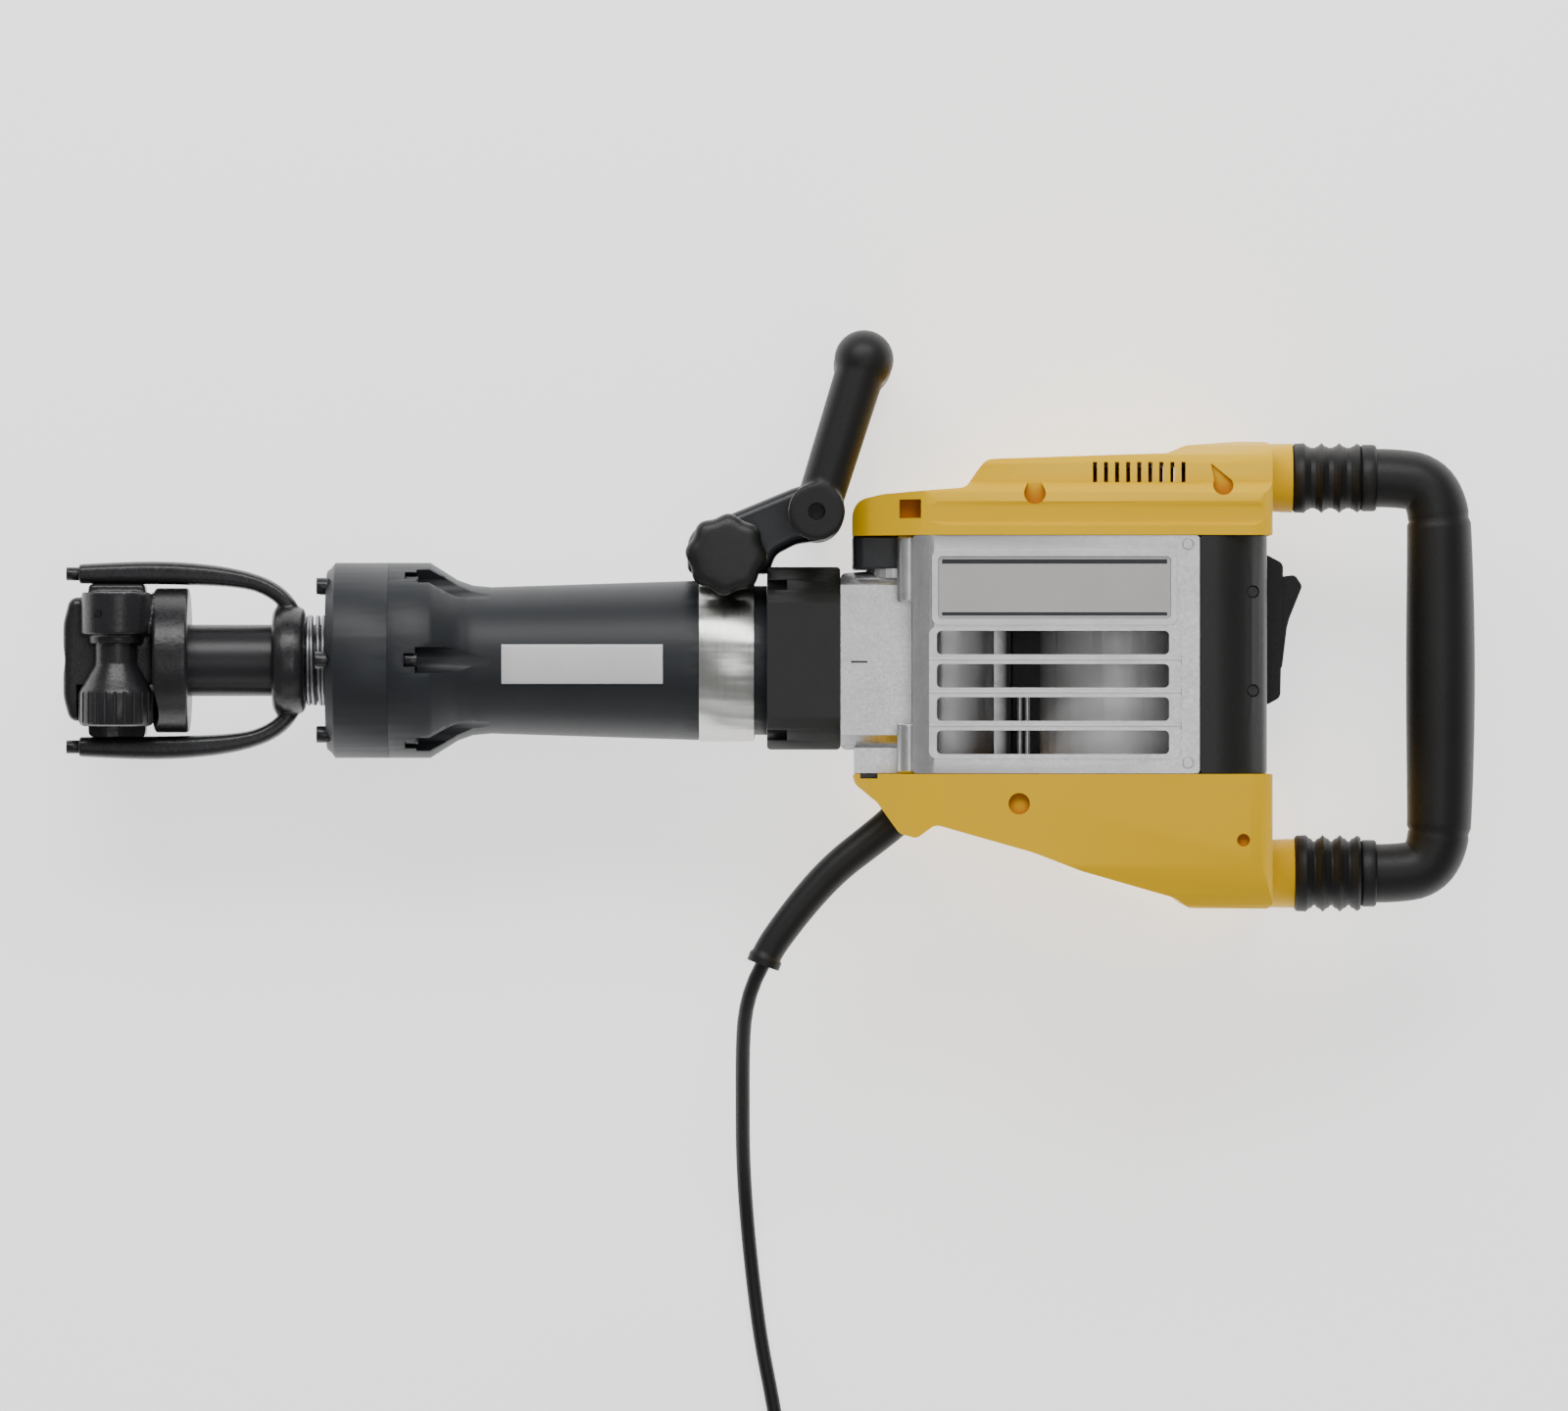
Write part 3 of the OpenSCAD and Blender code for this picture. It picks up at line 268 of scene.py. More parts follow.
def finish_piece(name, bm, body, slot_name, bevel=0.0, segments=2, smooth=40, replaces=()):
    """Makes an object of a bmesh in millimetres, rides it on a body and gives it its finish."""
    bmesh.ops.recalc_face_normals(bm, faces=bm.faces)
    bm.transform(TO_ROW)
    mesh = bpy.data.meshes.new(name)
    bm.to_mesh(mesh)
    bm.free()
    obj = bpy.data.objects.new(name, mesh)
    bpy.context.scene.collection.objects.link(obj)
    mesh.materials.append(MATERIALS[slot_name])
    if bevel:
        add_bevel(obj, bevel, segments)
    mesh.shade_smooth()
    mesh.set_sharp_from_angle(angle=math.radians(smooth))
    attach(obj, body)
    if replaces:
        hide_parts(*replaces)
    return obj


def add_bevel(obj, width, segments):
    modifier = obj.modifiers.new("bevel", "BEVEL")
    modifier.width = width * MM
    modifier.segments = segments
    modifier.limit_method = "ANGLE"
    modifier.angle_limit = math.radians(38)
    modifier.harden_normals = True
    modifier.miter_outer = "MITER_ARC"


def apply_modifiers(obj):
    """Bakes an object's modifiers into its mesh."""
    graph = bpy.context.evaluated_depsgraph_get()
    mesh = bpy.data.meshes.new_from_object(obj.evaluated_get(graph))
    obj.modifiers.clear()
    obj.data = mesh


def corner_points(a, b, c, r):
    """The arc that rounds the corner b of the line a, b, c with radius r."""
    a, b, c = Vector(a), Vector(b), Vector(c)
    u, v = (a - b).normalized(), (c - b).normalized()
    half = u.angle(v) / 2
    centre = b + (u + v).normalized() * r / math.sin(half)
    p = b + u * r / math.tan(half) - centre
    q = b + v * r / math.tan(half) - centre
    start = math.atan2(p.y, p.x)
    turn = (math.atan2(q.y, q.x) - start + 3 * math.pi) % (2 * math.pi) - math.pi
    steps = max(2, math.ceil(abs(turn) / math.radians(12)))
    angles = [start + turn * i / steps for i in range(steps + 1)]
    return [centre + r * Vector((math.cos(a), math.sin(a))) for a in angles]


def rounded(points):
    """An outline from (x, y, corner radius) points."""
    out = []
    for i, (x, y, r) in enumerate(points):
        before, after = points[i - 1], points[(i + 1) % len(points)]
        if r:
            out += corner_points(before[:2], (x, y), after[:2], r)
        else:
            out.append(Vector((x, y)))
    return out


def rect(x0, y0, x1, y1, r=0.0):
    """A rectangle's outline, with its corners rounded by r."""
    return rounded([(x0, y0, r), (x1, y0, r), (x1, y1, r), (x0, y1, r)])


def inset(outline, d):
    """The outline moved inwards by d; it runs anticlockwise."""
    out = []
    for i, p in enumerate(outline):
        a, b = outline[i - 1], outline[(i + 1) % len(outline)]
        n0 = (p - a).normalized()
        n1 = (b - p).normalized()
        n0, n1 = Vector((-n0.y, n0.x)), Vector((-n1.y, n1.x))
        m = (n0 + n1).normalized()
        out.append(p + m * d / max(0.3, m.dot(n0)))
    return out


def loft(bm, rings):
    """Joins rings of points into a skin, and closes its ends."""
    rows = [[bm.verts.new(p) for p in ring] for ring in rings]
    n = len(rows[0])
    for a, b in zip(rows, rows[1:]):
        for i in range(n):
            bm.faces.new((a[i], a[(i + 1) % n], b[(i + 1) % n], b[i]))
    bm.faces.new(rows[0][::-1])
    bm.faces.new(rows[-1])


def prism(bm, outline, z0, z1, edge0=0.0, edge1=0.0):
    """An outline pushed out from z0 to z1, with its two rims rounded by edge0 and edge1."""
    rings, steps = [], 4
    for i in range(steps + 1) if edge0 else [0]:
        t = math.pi / 2 * i / steps
        rings.append((edge0 * (1 - math.sin(t)), z0 + edge0 * (1 - math.cos(t))))
    for i in range(steps + 1) if edge1 else [0]:
        t = math.pi / 2 * i / steps
        rings.append((edge1 * (1 - math.cos(t)), z1 - edge1 * (1 - math.sin(t))))
    loft(bm, [[(p.x, p.y, z) for p in (inset(outline, d) if d else outline)] for d, z in rings])


def lathe(bm, profile, y=0.0, sides=96):
    """A closed (x, radius) profile turned about a line along X at height y."""
    rows = []
    for x, r in profile:
        if r < 1e-6:
            rows.append([bm.verts.new((x, y, 0))])
        else:
            rows.append([bm.verts.new((x, y + r * math.cos(2 * math.pi * k / sides),
                                       r * math.sin(2 * math.pi * k / sides)))
                         for k in range(sides)])
    for a, b in zip(rows, rows[1:] + rows[:1]):
        for k in range(sides):
            m = (k + 1) % sides
            corners = [a[k % len(a)], a[m % len(a)], b[m % len(b)], b[k % len(b)]]
            unique = list(dict.fromkeys(corners))
            if len(unique) > 2:
                bm.faces.new(unique)


AXES = {
    "x": Matrix.Rotation(math.pi / 2, 4, "Y"),
    "y": Matrix.Rotation(-math.pi / 2, 4, "X"),
    "z": Matrix.Identity(4),
}


def rod(bm, axis, start, end, r, x=0.0, y=0.0, z=0.0, sides=48, r1=None):
    """A cylinder or cone along an axis, from start to end on it."""
    middle = {"x": ((start + end) / 2, y, z), "y": (x, (start + end) / 2, z),
              "z": (x, y, (start + end) / 2)}[axis]
    bmesh.ops.create_cone(bm, cap_ends=True, segments=sides, radius1=r,
                          radius2=r if r1 is None else r1, depth=end - start,
                          matrix=Matrix.Translation(middle) @ AXES[axis])


def box(bm, low, high):
    """A block between two corners."""
    low, high = Vector(low), Vector(high)
    size = high - low
    bmesh.ops.create_cube(bm, size=1, matrix=Matrix.Translation((low + high) / 2)
                          @ Matrix.Diagonal((size.x, size.y, size.z, 1)))


def smooth_line(points, rounds=3):
    """Chaikin's corner cutting: a smooth line along given points."""
    points = [Vector(p) for p in points]
    for _ in range(rounds):
        out = [points[0]]
        for a, b in zip(points, points[1:]):
            out += [a.lerp(b, 0.25), a.lerp(b, 0.75)]
        points = out + [points[-1]]
    return points


def evenly(points, step):
    """Points at equal steps along a line."""
    lengths = [0.0]
    for a, b in zip(points, points[1:]):
        lengths.append(lengths[-1] + (b - a).length)
    count = max(2, round(lengths[-1] / step))
    out, k = [], 0
    for i in range(count + 1):
        s = lengths[-1] * i / count
        while k < len(points) - 2 and lengths[k + 1] < s:
            k += 1
        t = (s - lengths[k]) / max(1e-9, lengths[k + 1] - lengths[k])
        out.append(points[k].lerp(points[k + 1], min(1, max(0, t))))
    return out


def sweep(bm, line, section, sides=24, power=2.0):
    """A tube along a line in the XY plane; section(t) gives its half width and half depth."""
    rings = []
    n = len(line)
    for i, p in enumerate(line):
        along = (line[min(i + 1, n - 1)] - line[max(i - 1, 0)]).normalized()
        side = along.cross(Vector((0, 0, 1))).normalized()
        a, b = section(i / (n - 1))
        ring = []
        for k in range(sides):
            c, s = math.cos(2 * math.pi * k / sides), math.sin(2 * math.pi * k / sides)
            u = math.copysign(abs(c) ** (2 / power), c) * a
            v = math.copysign(abs(s) ** (2 / power), s) * b
            ring.append(p + side * u + Vector((0, 0, 1)) * v)
        rings.append(ring)
    loft(bm, rings)


def mirrored(side, a, b):
    """The range from a to b on one side of the middle plane, lowest first; side is 1 or -1."""
    return sorted((side * a, side * b))


def merge(bm, part, matrix):
    """Adds a part's bmesh to bm, moved by a matrix, and frees it."""
    part.transform(matrix)
    mesh = bpy.data.meshes.new("part")
    part.to_mesh(mesh)
    part.free()
    bm.from_mesh(mesh)
    bpy.data.meshes.remove(mesh)


def working_object(build):
    """A passing object for modifiers and booleans; build fills its bmesh."""
    bm = bmesh.new()
    build(bm)
    bmesh.ops.recalc_face_normals(bm, faces=bm.faces)
    mesh = bpy.data.meshes.new("working")
    bm.to_mesh(mesh)
    bm.free()
    obj = bpy.data.objects.new("working", mesh)
    bpy.context.scene.collection.objects.link(obj)
    return obj


def combine(base, steps):
    """Applies (boolean operation, shapes) steps to a working object in turn."""
    helpers = []
    for operation, shapes in steps:
        for shape in shapes:
            helper = working_object(shape)
            helpers.append(helper)
            modifier = base.modifiers.new("boolean", "BOOLEAN")
            modifier.operation = operation
            modifier.solver = "EXACT"
            modifier.object = helper
    apply_modifiers(base)
    for helper in helpers:
        bpy.data.objects.remove(helper)
    return base


def take_mesh(base):
    """A bmesh of a working object, which is removed."""
    bm = bmesh.new()
    bm.from_mesh(base.data)
    bpy.data.objects.remove(base)
    return bm


def clipped(build, *limits):
    """A working object of build, cut down to what lies inside every limit."""
    return combine(working_object(build), [("INTERSECT", limits)])


def carved(build, cuts, voxel=0.0, rounds=0):
    """A bmesh of build less its cuts; a voxel size first fuses it into one smooth skin."""
    base = working_object(build)
    if voxel:
        remesh = base.modifiers.new("remesh", "REMESH")
        remesh.mode = "VOXEL"
        remesh.voxel_size = voxel
        smooth = base.modifiers.new("smooth", "SMOOTH")
        smooth.factor = 0.5
        smooth.iterations = rounds
    return take_mesh(combine(base, [("DIFFERENCE", cuts)]))


def ball(bm, centre, r, flat=1.0):
    """A sphere, flattened along Z."""
    bmesh.ops.create_uvsphere(bm, u_segments=40, v_segments=24, radius=r,
                              matrix=Matrix.Translation(centre) @ Matrix.Diagonal((1, 1, flat, 1)))


def bar(bm, a, b, r0, r1):
    """A round bar between two points, r0 at a and r1 at b."""
    a, b = Vector(a), Vector(b)
    turn = (b - a).to_track_quat("Z", "Y").to_matrix().to_4x4()
    bmesh.ops.create_cone(bm, cap_ends=True, segments=48, radius1=r0, radius2=r1,
                          depth=(b - a).length, matrix=Matrix.Translation((a + b) / 2) @ turn)


# ---- Cord

# The cord's route in the row frame, in millimetres, from the strain relief to the coil and from
# the coil to the plug; its diameter in metres
CORD_D = 0.008
ROUTE = [
    (-4, -184, 82), (-10, -196, 79), (-14, -212, 70), (-15, -234, 54), (-15, -260, 38),
    (-15, -284, 23), (-14, -308, 11), (-12, -334, 5), (-9, -362, 4), (-5, -392, 4),
    (1, -422, 4), (6, -452, 4), (8, -480, 4), (8, -506, 4),
]
TAIL = [
    (-30, -471, 45), (-18, -482, 46), (-9, -500, 46), (-8, -520, 47), (-16, -538, 50),
    (-28, -550, 54), (-42, -555, 56),
]
COIL_X, COIL_Y, COIL_R, TURN_PITCH = -52, -510, 47, 8.33
LAYERS, TURNS = 5, 3         # layers of the coil, and turns in each
CLIMB = math.radians(60)     # the turn over which the cord climbs to the next layer


def coil_points():
    """The coil's turns, from the floor up: flat spirals on each other, joined by short climbs."""
    outer, inner = COIL_R + 1.5 * TURN_PITCH, COIL_R - 1.5 * TURN_PITCH
    layer_turn = 2 * math.pi * TURNS
    steps = 36
    points, angle, step = [], 0.0, 2 * math.pi / steps
    for layer in range(LAYERS):
        r0, r1 = (outer, inner) if layer % 2 == 0 else (inner, outer)
        z = 4 + layer * TURN_PITCH
        for i in range(TURNS * steps):
            points.append((angle + i * step, r0 + (r1 - r0) * i * step / layer_turn, z))
        angle += layer_turn
        for i in range(steps // 6):
            t = i * step / CLIMB
            reach = r1 + (10.5 * t if layer == LAYERS - 1 else 0)
            points.append((angle + i * step, reach, z + TURN_PITCH * t * t * (3 - 2 * t)))
        angle += CLIMB
    return [Vector((COIL_X + r * math.cos(-a), COIL_Y + r * math.sin(-a), z))
            for a, r, z in points]


def cord_line():
    """The whole cord, in metres."""
    lead = evenly(smooth_line(ROUTE, 2), 9)
    tail = evenly(smooth_line(TAIL, 2), 6)
    return [p * MM for p in lead[:-1] + coil_points()[1:] + tail]


def add_cord():
    """The cord as one line, with its strain relief sleeve."""
    line = cord_line()
    curve = bpy.data.curves.new("power_cord_line", "CURVE")
    curve.dimensions = "3D"
    spline = curve.splines.new("POLY")
    spline.points.add(len(line) - 1)
    for point, p in zip(spline.points, line):
        point.co = (p.x, p.y, p.z, 1)
    curve.bevel_depth = CORD_D / 2
    curve.bevel_resolution = 3
    curve.use_fill_caps = True
    cord = bpy.data.objects.new("power_cord_line", curve)
    bpy.context.scene.collection.objects.link(cord)
    curve.materials.append(MATERIALS["cord_rubber"])
    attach(cord, "tool")
    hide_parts("power_cord", "cord_coil", "cord_tail")
    relief = add_strain_relief()


def add_strain_relief():
    """The long tapered sleeve, bent a little as it hangs, with a flared lip at its end."""
    bm = bmesh.new()
    line = evenly(smooth_line([
        (68, -85, 0), (64, -89, 0), (52, -98.5, 0), (39, -108.5, 0), (28.5, -118.5, 0),
        (17.9, -130.6, 0), (7.4, -144.1, 0), (-1, -156.2, 0), (-4, -164.2, 0)], 3), 1.5)

    def section(t):
        r = 9.4 - 1.4 * t
        if t > 0.95:
            r += 1.1
        return r, r

    sweep(bm, line, section, 32)
    return finish_piece("strain_relief_sleeve", bm, "tool", "soft_rubber", 0.4, 2, 50,
                        ["strain_relief"])


# ---- The yellow covers

def plan_prism(bm, x1, r, wide=HALF_WIDTH):
    """The housing's shape seen from above, up to x1, pushed out along Y past all of it."""
    outline = rounded([(43, -40, 6), (52, -52, 20), (84, -wide, 30), (x1, -wide, r), (x1, wide, r),
                       (84, wide, 30), (52, 52, 20), (43, 40, 6)])
    loft(bm, [[(p.x, y, p.y) for p in outline] for y in (-200, 200)])


def belt_prism(bm, profile, x0, x1):
    """A (half width, y) profile mirrored about the axis and pushed out along X."""
    ring = [(w, y) for w, y in profile] + [(-w, y) for w, y in reversed(profile)]
    loft(bm, [[(x, y, w) for w, y in ring] for x in (x0, x1)])


def teardrop(bm, x, y, r, tip, lean, side, low, high):
    """A screw recess: round below, drawn out to a point above that leans along X."""
    points = [Vector((x + r * math.cos(math.radians(a)), y + r * math.sin(math.radians(a))))
              for a in range(150, 391, 15)]
    points.append(Vector((x + lean, tip)))
    loft(bm, [[(p.x, p.y, z) for p in points] for z in mirrored(side, low, high)])


def neck(bm, x0, x1, y, r, low, high, half):
    """A neck that runs from a rounded square at x0 to a circle at x1."""
    rings = []
    count = 48
    for i in range(9):
        t = i / 8
        ease = t * t * (3 - 2 * t)
        power = 2 + 3.5 * (1 - ease)
        x = x0 + (x1 - x0) * t
        centre = (low + high) / 2 * (1 - ease) + y * ease
        a, b = (high - low) / 2 * (1 - ease) + r * ease, half * (1 - ease) + r * ease
        ring = []
        for k in range(count):
            c, s = math.cos(2 * math.pi * k / count), math.sin(2 * math.pi * k / count)
            ring.append((x, centre + math.copysign(abs(c) ** (2 / power), c) * a,
                         math.copysign(abs(s) ** (2 / power), s) * b))
        rings.append(ring)
    loft(bm, rings)


# Side outlines as (x, y, corner radius), and belts as (half width, y)
COVER_END_X = 268
TOP_OUTLINE = [(44.3, 66.6, 0.8), (COVER_END_X, 66.6, 0.8), (COVER_END_X, 116.8, 4),
               (250, 117, 30), (222, 114.8, 8), (212, 110.5, 5), (115, 107.2, 8),
               (104.5, 92, 7), (60, 88.6, 20), (44.3, 85, 9)]
TOP_BELT = [(82, 60), (82, 71.6), (81.4, 72.4), (79.6, 74), (79.6, 81.5), (81.2, 84.5),
            (79.4, 89), (74.5, 93), (71.5, 95), (70.2, 104.5), (66, 109.5), (56, 114.5),
            (40, 118), (0, 118.4)]
BOTTOM_OUTLINE = [(43.8, -60.8, 2), (46, -67, 3), (57.5, -76.5, 2), (69, -92.6, 5), (78, -95.2, 4),
                  (88, -87.8, 6), (140, -102.6, 40), (166, -112.6, 30), (216, -127, 12),
                  (223, -132.4, 6), (COVER_END_X, -132.8, 4), (COVER_END_X, -60.8, 1)]
BOTTOM_BELT = [(82, -58), (82, -108.5), (80.6, -111.6), (76, -124), (71, -130.5), (62, -136)]
GRIP_SEAT_R = 16.5           # the hole in each neck that takes the grip's end


def cover_body(outline, belt):
    """A cover's outside, from its outline seen from the side, from above and along the axis."""
    return clipped(lambda bm: prism(bm, rounded(outline), -HALF_WIDTH, HALF_WIDTH),
                   lambda bm: plan_prism(bm, COVER_END_X, 12),
                   lambda bm: belt_prism(bm, belt, 20, 300))


def cut_cover(base, joins, cuts):
    """A bmesh of a working object with shapes joined and cut, and its flat faces made whole."""
    bm = take_mesh(combine(base, [("UNION", joins), ("DIFFERENCE", cuts)]))
    bmesh.ops.remove_doubles(bm, verts=bm.verts, dist=0.002)
    bmesh.ops.dissolve_limit(bm, angle_limit=math.radians(0.6), verts=bm.verts, edges=bm.edges)
    return bm


def add_top_cover():
    """The upper cover, with nine vent slots, its recesses and the neck of the grip's end."""
    def vents(bm):
        for i in range(9):
            x = 173.2 + i * 5.9
            for s in (-1, 1):
                low, high = mirrored(s, 60, 90)
                box(bm, (x - 1.1, 94.8, low), (x + 1.1, 105.6, high))

    def low_hollow(bm):
        box(bm, (86, 60, -76), (262, 82, 76))

    def high_hollow(bm):
        box(bm, (116, 80, -66), (261, 105, 66))

    def recesses(bm):
        for s in (1, -1):
            teardrop(bm, 141, 88.8, 5.8, 103, 0, s, 72, 87)
            low, high = mirrored(s, 62, 90)
            box(bm, (69, 75.6, low), (80.4, 85.6, high))

    def slanted(bm):
        for s in (1, -1):
            teardrop(bm, 241.5, 93.2, 5.4, 105, -6.5, s, 69, 83)

    bm = cut_cover(cover_body(TOP_OUTLINE, TOP_BELT),
                   [lambda bm: neck(bm, 236, 281, GRIP_TOP_Y, 18.6, 83, 116, 46)],
                   [vents, low_hollow, high_hollow, recesses, slanted,
                    lambda bm: rod(bm, "x", 258, 283, GRIP_SEAT_R, y=GRIP_TOP_Y)])
    finish_piece("top_shell", bm, "tool", "yellow_plastic", 0.9, 3, 35, ["top_cover"])


def add_bottom_cover():
    """The lower cover, with its recesses, the cord sleeve's seat and the neck of the grip's end."""
    def hollow(bm):
        box(bm, (88, -86, -76), (262, -54, 76))
        box(bm, (160, -108, -75.5), (261, -80, 75.5))

    def recesses(bm):
        for s in (1, -1):
            rod(bm, "z", *mirrored(s, 78, 90), 5.7, 132.6, -76.6)
            low, high = mirrored(s, 36, 90)
            box(bm, (48.2, -63.4, low), (57.4, -58, high))
            rod(bm, "z", *mirrored(s, 78.5, 90), 3.4, 252, -96)

    def seat(bm):
        part = bmesh.new()
        rod(part, "x", -14, 40, 10.2)
        merge(bm, part,
              Matrix.Translation((66, -88, 0)) @ Matrix.Rotation(math.radians(-135), 4, "Z"))

    bm = cut_cover(cover_body(BOTTOM_OUTLINE, BOTTOM_BELT),
                   [lambda bm: neck(bm, 232, 282, GRIP_LOW_Y, 18.6, -131.5, -99, 50)],
                   [hollow, recesses, seat,
                    lambda bm: rod(bm, "x", 258, 284, GRIP_SEAT_R, y=GRIP_LOW_Y)])
    finish_piece("bottom_shell", bm, "tool", "yellow_plastic", 0.9, 3, 35, ["bottom_cover"])


# ---- The cast side shells, the front block and the rear cover

SIDE_SCREW_X, SIDE_SCREW_YS = 222.5, (-55, 61.5)


def add_side_shell(name, s):
    """A cast side: raised frames round the plate and the four windows, and round screw posts."""
    def body(bm):
        prism(bm, rect(76, -60.5, 228.8, 66.4, 2), *mirrored(s, 46, 80.6))

    def frames(bm):
        low, high = mirrored(s, 77.6, 81.9)
        prism(bm, rect(86.2, 18.6, 216.6, 58.4, 4), low, high)
        prism(bm, rect(84.6, -52.6, 218.6, 17.4, 4), low, high)

    def windows(bm):
        for i in range(4):
            y = WINDOW_Y - WINDOW_STEP * i
            prism(bm, rect(88.8, y - 6.3, 212.4, y + 6.3, 2.5), *mirrored(s, 40, 90))

    def label(bm):
        prism(bm, rect(89.4, 21.8, 213.4, 55.2, 2.5), *mirrored(s, 80.4, 90))

    def hollow(bm):
        low, high = mirrored(s, 40, 77)
        box(bm, (88.8, -56, low), (225, 62, high))

    def screws(bm, r, low, high):
        for y in SIDE_SCREW_YS:
            rod(bm, "z", *mirrored(s, low, high), r, SIDE_SCREW_X, y)

    base = clipped(body, lambda bm: plan_prism(bm, 228.8, 1))
    bm = cut_cover(base, [frames], [hollow, windows, label,
                                    lambda bm: screws(bm, 3.3, 79.6, 90)])
    finish_piece(name, bm, "tool", "cast_aluminium", 0.8, 3, 35, ["side_shell_" + name[5:]])
    bm = bmesh.new()
    for i in range(3):
        y = WINDOW_Y - WINDOW_STEP * (i + 0.5)
        rod(bm, "x", 85, 219, 2.5, y=y, z=s * 79.5, sides=32)
    for y0, y1 in ((30.8, 66.3), (-60.4, -33.7)):
        post = [(y0, 0.0), (y0, 5.4), (y0 + 1.0, 6.4), (y1 - 1, 6.4), (y1, 5.4), (y1, 0.0)]
        lathe_y(bm, post, 74.2, s * 60)
    finish_piece(name + "_ribs", bm, "tool", "cast_aluminium", 0.3, 2, 50)
    bm = bmesh.new()
    screws(bm, 2.8, 79, 80.6)
    finish_piece(name + "_screws", bm, "tool", "zinc_steel", 0.4, 2)


def add_gap_bars():
    """Bright tie bars between the crank chamber and the motor, and a dark strip behind them whose
    black stands in for the shade in the gap.
    """
    bm = bmesh.new()
    for s in (1, -1):
        for x, top in ((133.6, -17), (137.6, -19)):
            rod(bm, "y", -51, top, 1.4, x, 0, s * 44, 20)
    finish_piece("gap_bars", bm, "tool", "zinc_steel", 0, 2, 50)
    bm = bmesh.new()
    # painted shade: a black strip where the gap between the crank chamber and the motor lies in
    # shade
    prism(bm, rect(142.6, -51, 146.4, 34.5, 1.5), -8.6, 8.6, 0.5, 0.5)
    finish_piece("gap_shade_strip", bm, "tool", "soft_rubber")


def lathe_y(bm, profile, x, z, sides=40):
    """A closed (y, radius) profile turned about a line along Y."""
    part = bmesh.new()
    lathe(part, profile, 0, sides)
    merge(bm, part, Matrix.Translation((x, 0, z)) @ Matrix.Rotation(math.pi / 2, 4, "Z"))


def add_plates():
    """Blank plates in the sides' frames, each between two thin dark lines."""
    plates, lines = bmesh.new(), bmesh.new()
    for s in (1, -1):
        prism(plates, rect(89.6, 22, 213.2, 55, 2.3), *mirrored(s, 80, 80.9))
        low, high = mirrored(s, 80.7, 81.0)
        for y0, y1 in ((23.6, 25.4), (51.2, 53.6)):
            box(lines, (91.5, y0, low), (211.4, y1, high))
    finish_piece("blank_plates", plates, "tool", "silver_plate", 0.2, 2, 35, ["name_plates"])
    finish_piece("plate_lines", lines, "tool", "black_metal")


def add_rear_cover():
    """The black rear cover, with two screws on each side and the switch's opening."""
    def screws(bm, r, low, high):
        for s in (1, -1):
            for y in (-16.4, 36.4):
                rod(bm, "z", *mirrored(s, low, high), r, 257.5, y)

    base = clipped(lambda bm: prism(bm, rect(229.2, -60.5, 265.6, 66.4, 1.5), -81.5, 81.5),
                   lambda bm: plan_prism(bm, 265.6, 30, 81.6))
    bm = cut_cover(base, [], [lambda bm: screws(bm, 3.4, 66, 90),
                              lambda bm: box(bm, (215, -57, -62), (256, 62, 62)),
                              lambda bm: box(bm, (250, -24, -17), (270, 57, 17))])
    finish_piece("rear_shell", bm, "tool", "black_plastic", 1.2, 3, 35, ["rear_cover"])
    bm = bmesh.new()
    screws(bm, 3.2, 64, 67)
    finish_piece("rear_screws", bm, "tool", "black_metal", 0.5, 2)


def add_front_details():
    """A dark block at the front of the gear housing, under the upper cover, and the seam marks of
    the front block.
    """
    bm = bmesh.new()
    outline = rect(44.2, -45.3, 75.6, 45.3, 6)
    loft(bm, [[(p.x, y, p.y) for p in outline] for y in (48.9, 66.4)])
    finish_piece("gear_housing_front", bm, "tool", "black_metal", 1.2, 3)
    bm = bmesh.new()
    for s in (1, -1):
        low, high = mirrored(s, 45.9, 46.15)
        box(bm, (43.2, -1.4, low), (52, -0.4, high))
        low, high = mirrored(s, 37, 43)
        box(bm, (48.4, -63.2, low), (57.2, -61, high))
    finish_piece("seam_marks", bm, "tool", "black_metal")


# ---- The sprung rear handle

BELLOWS_X = 281.2            # the front end of the upper bellows
DAMPER_X = 252.4             # the front end of the grip's springs
HEAD_SPRING_X = -238.8       # the rear end of the tool head's spring


def add_rear_handle():
    """The D-shaped grip: its legs, its bends and its thicker middle, with a collar on each leg."""
    bm = bmesh.new()
    line = evenly(smooth_line([
        (284.2, GRIP_TOP_Y, 0), (318, GRIP_TOP_Y, 0), (336, GRIP_TOP_Y, 0), (352, 96, 0),
        (359.5, 84, 0), (360.6, 66, 0), (361.1, -8, 0), (360.6, -82, 0), (359.5, -100, 0),
        (352, -112.5, 0), (336, GRIP_LOW_Y, 0), (318, GRIP_LOW_Y, 0), (284.2, GRIP_LOW_Y, 0)],
        3), 2.4)
    length = sum((b - a).length for a, b in zip(line, line[1:]))

    def section(t):
        reach = abs(t - 0.5) * length
        if reach > 106:
            r = 15.8
        elif reach > 85:
            r = 15.8 + (106 - reach) / 21 * 0.9
        elif reach > 82:
            r = 16.2
        else:
            r = 17.3 + 1.3 * math.cos(reach / 82 * math.pi / 2)
        return r, r * 1.03

    sweep(bm, line, section, 40)
    for y in (GRIP_TOP_Y, GRIP_LOW_Y):
        lathe(bm, [(318, 15.2), (318, 17.2), (319, 18), (325, 18), (326.2, 17.2), (326.2, 15.2)],
              y, 64)
    finish_piece("rear_grip_sweep", bm, "handle", "soft_rubber", 0, 2, 60, ["main_handle"])


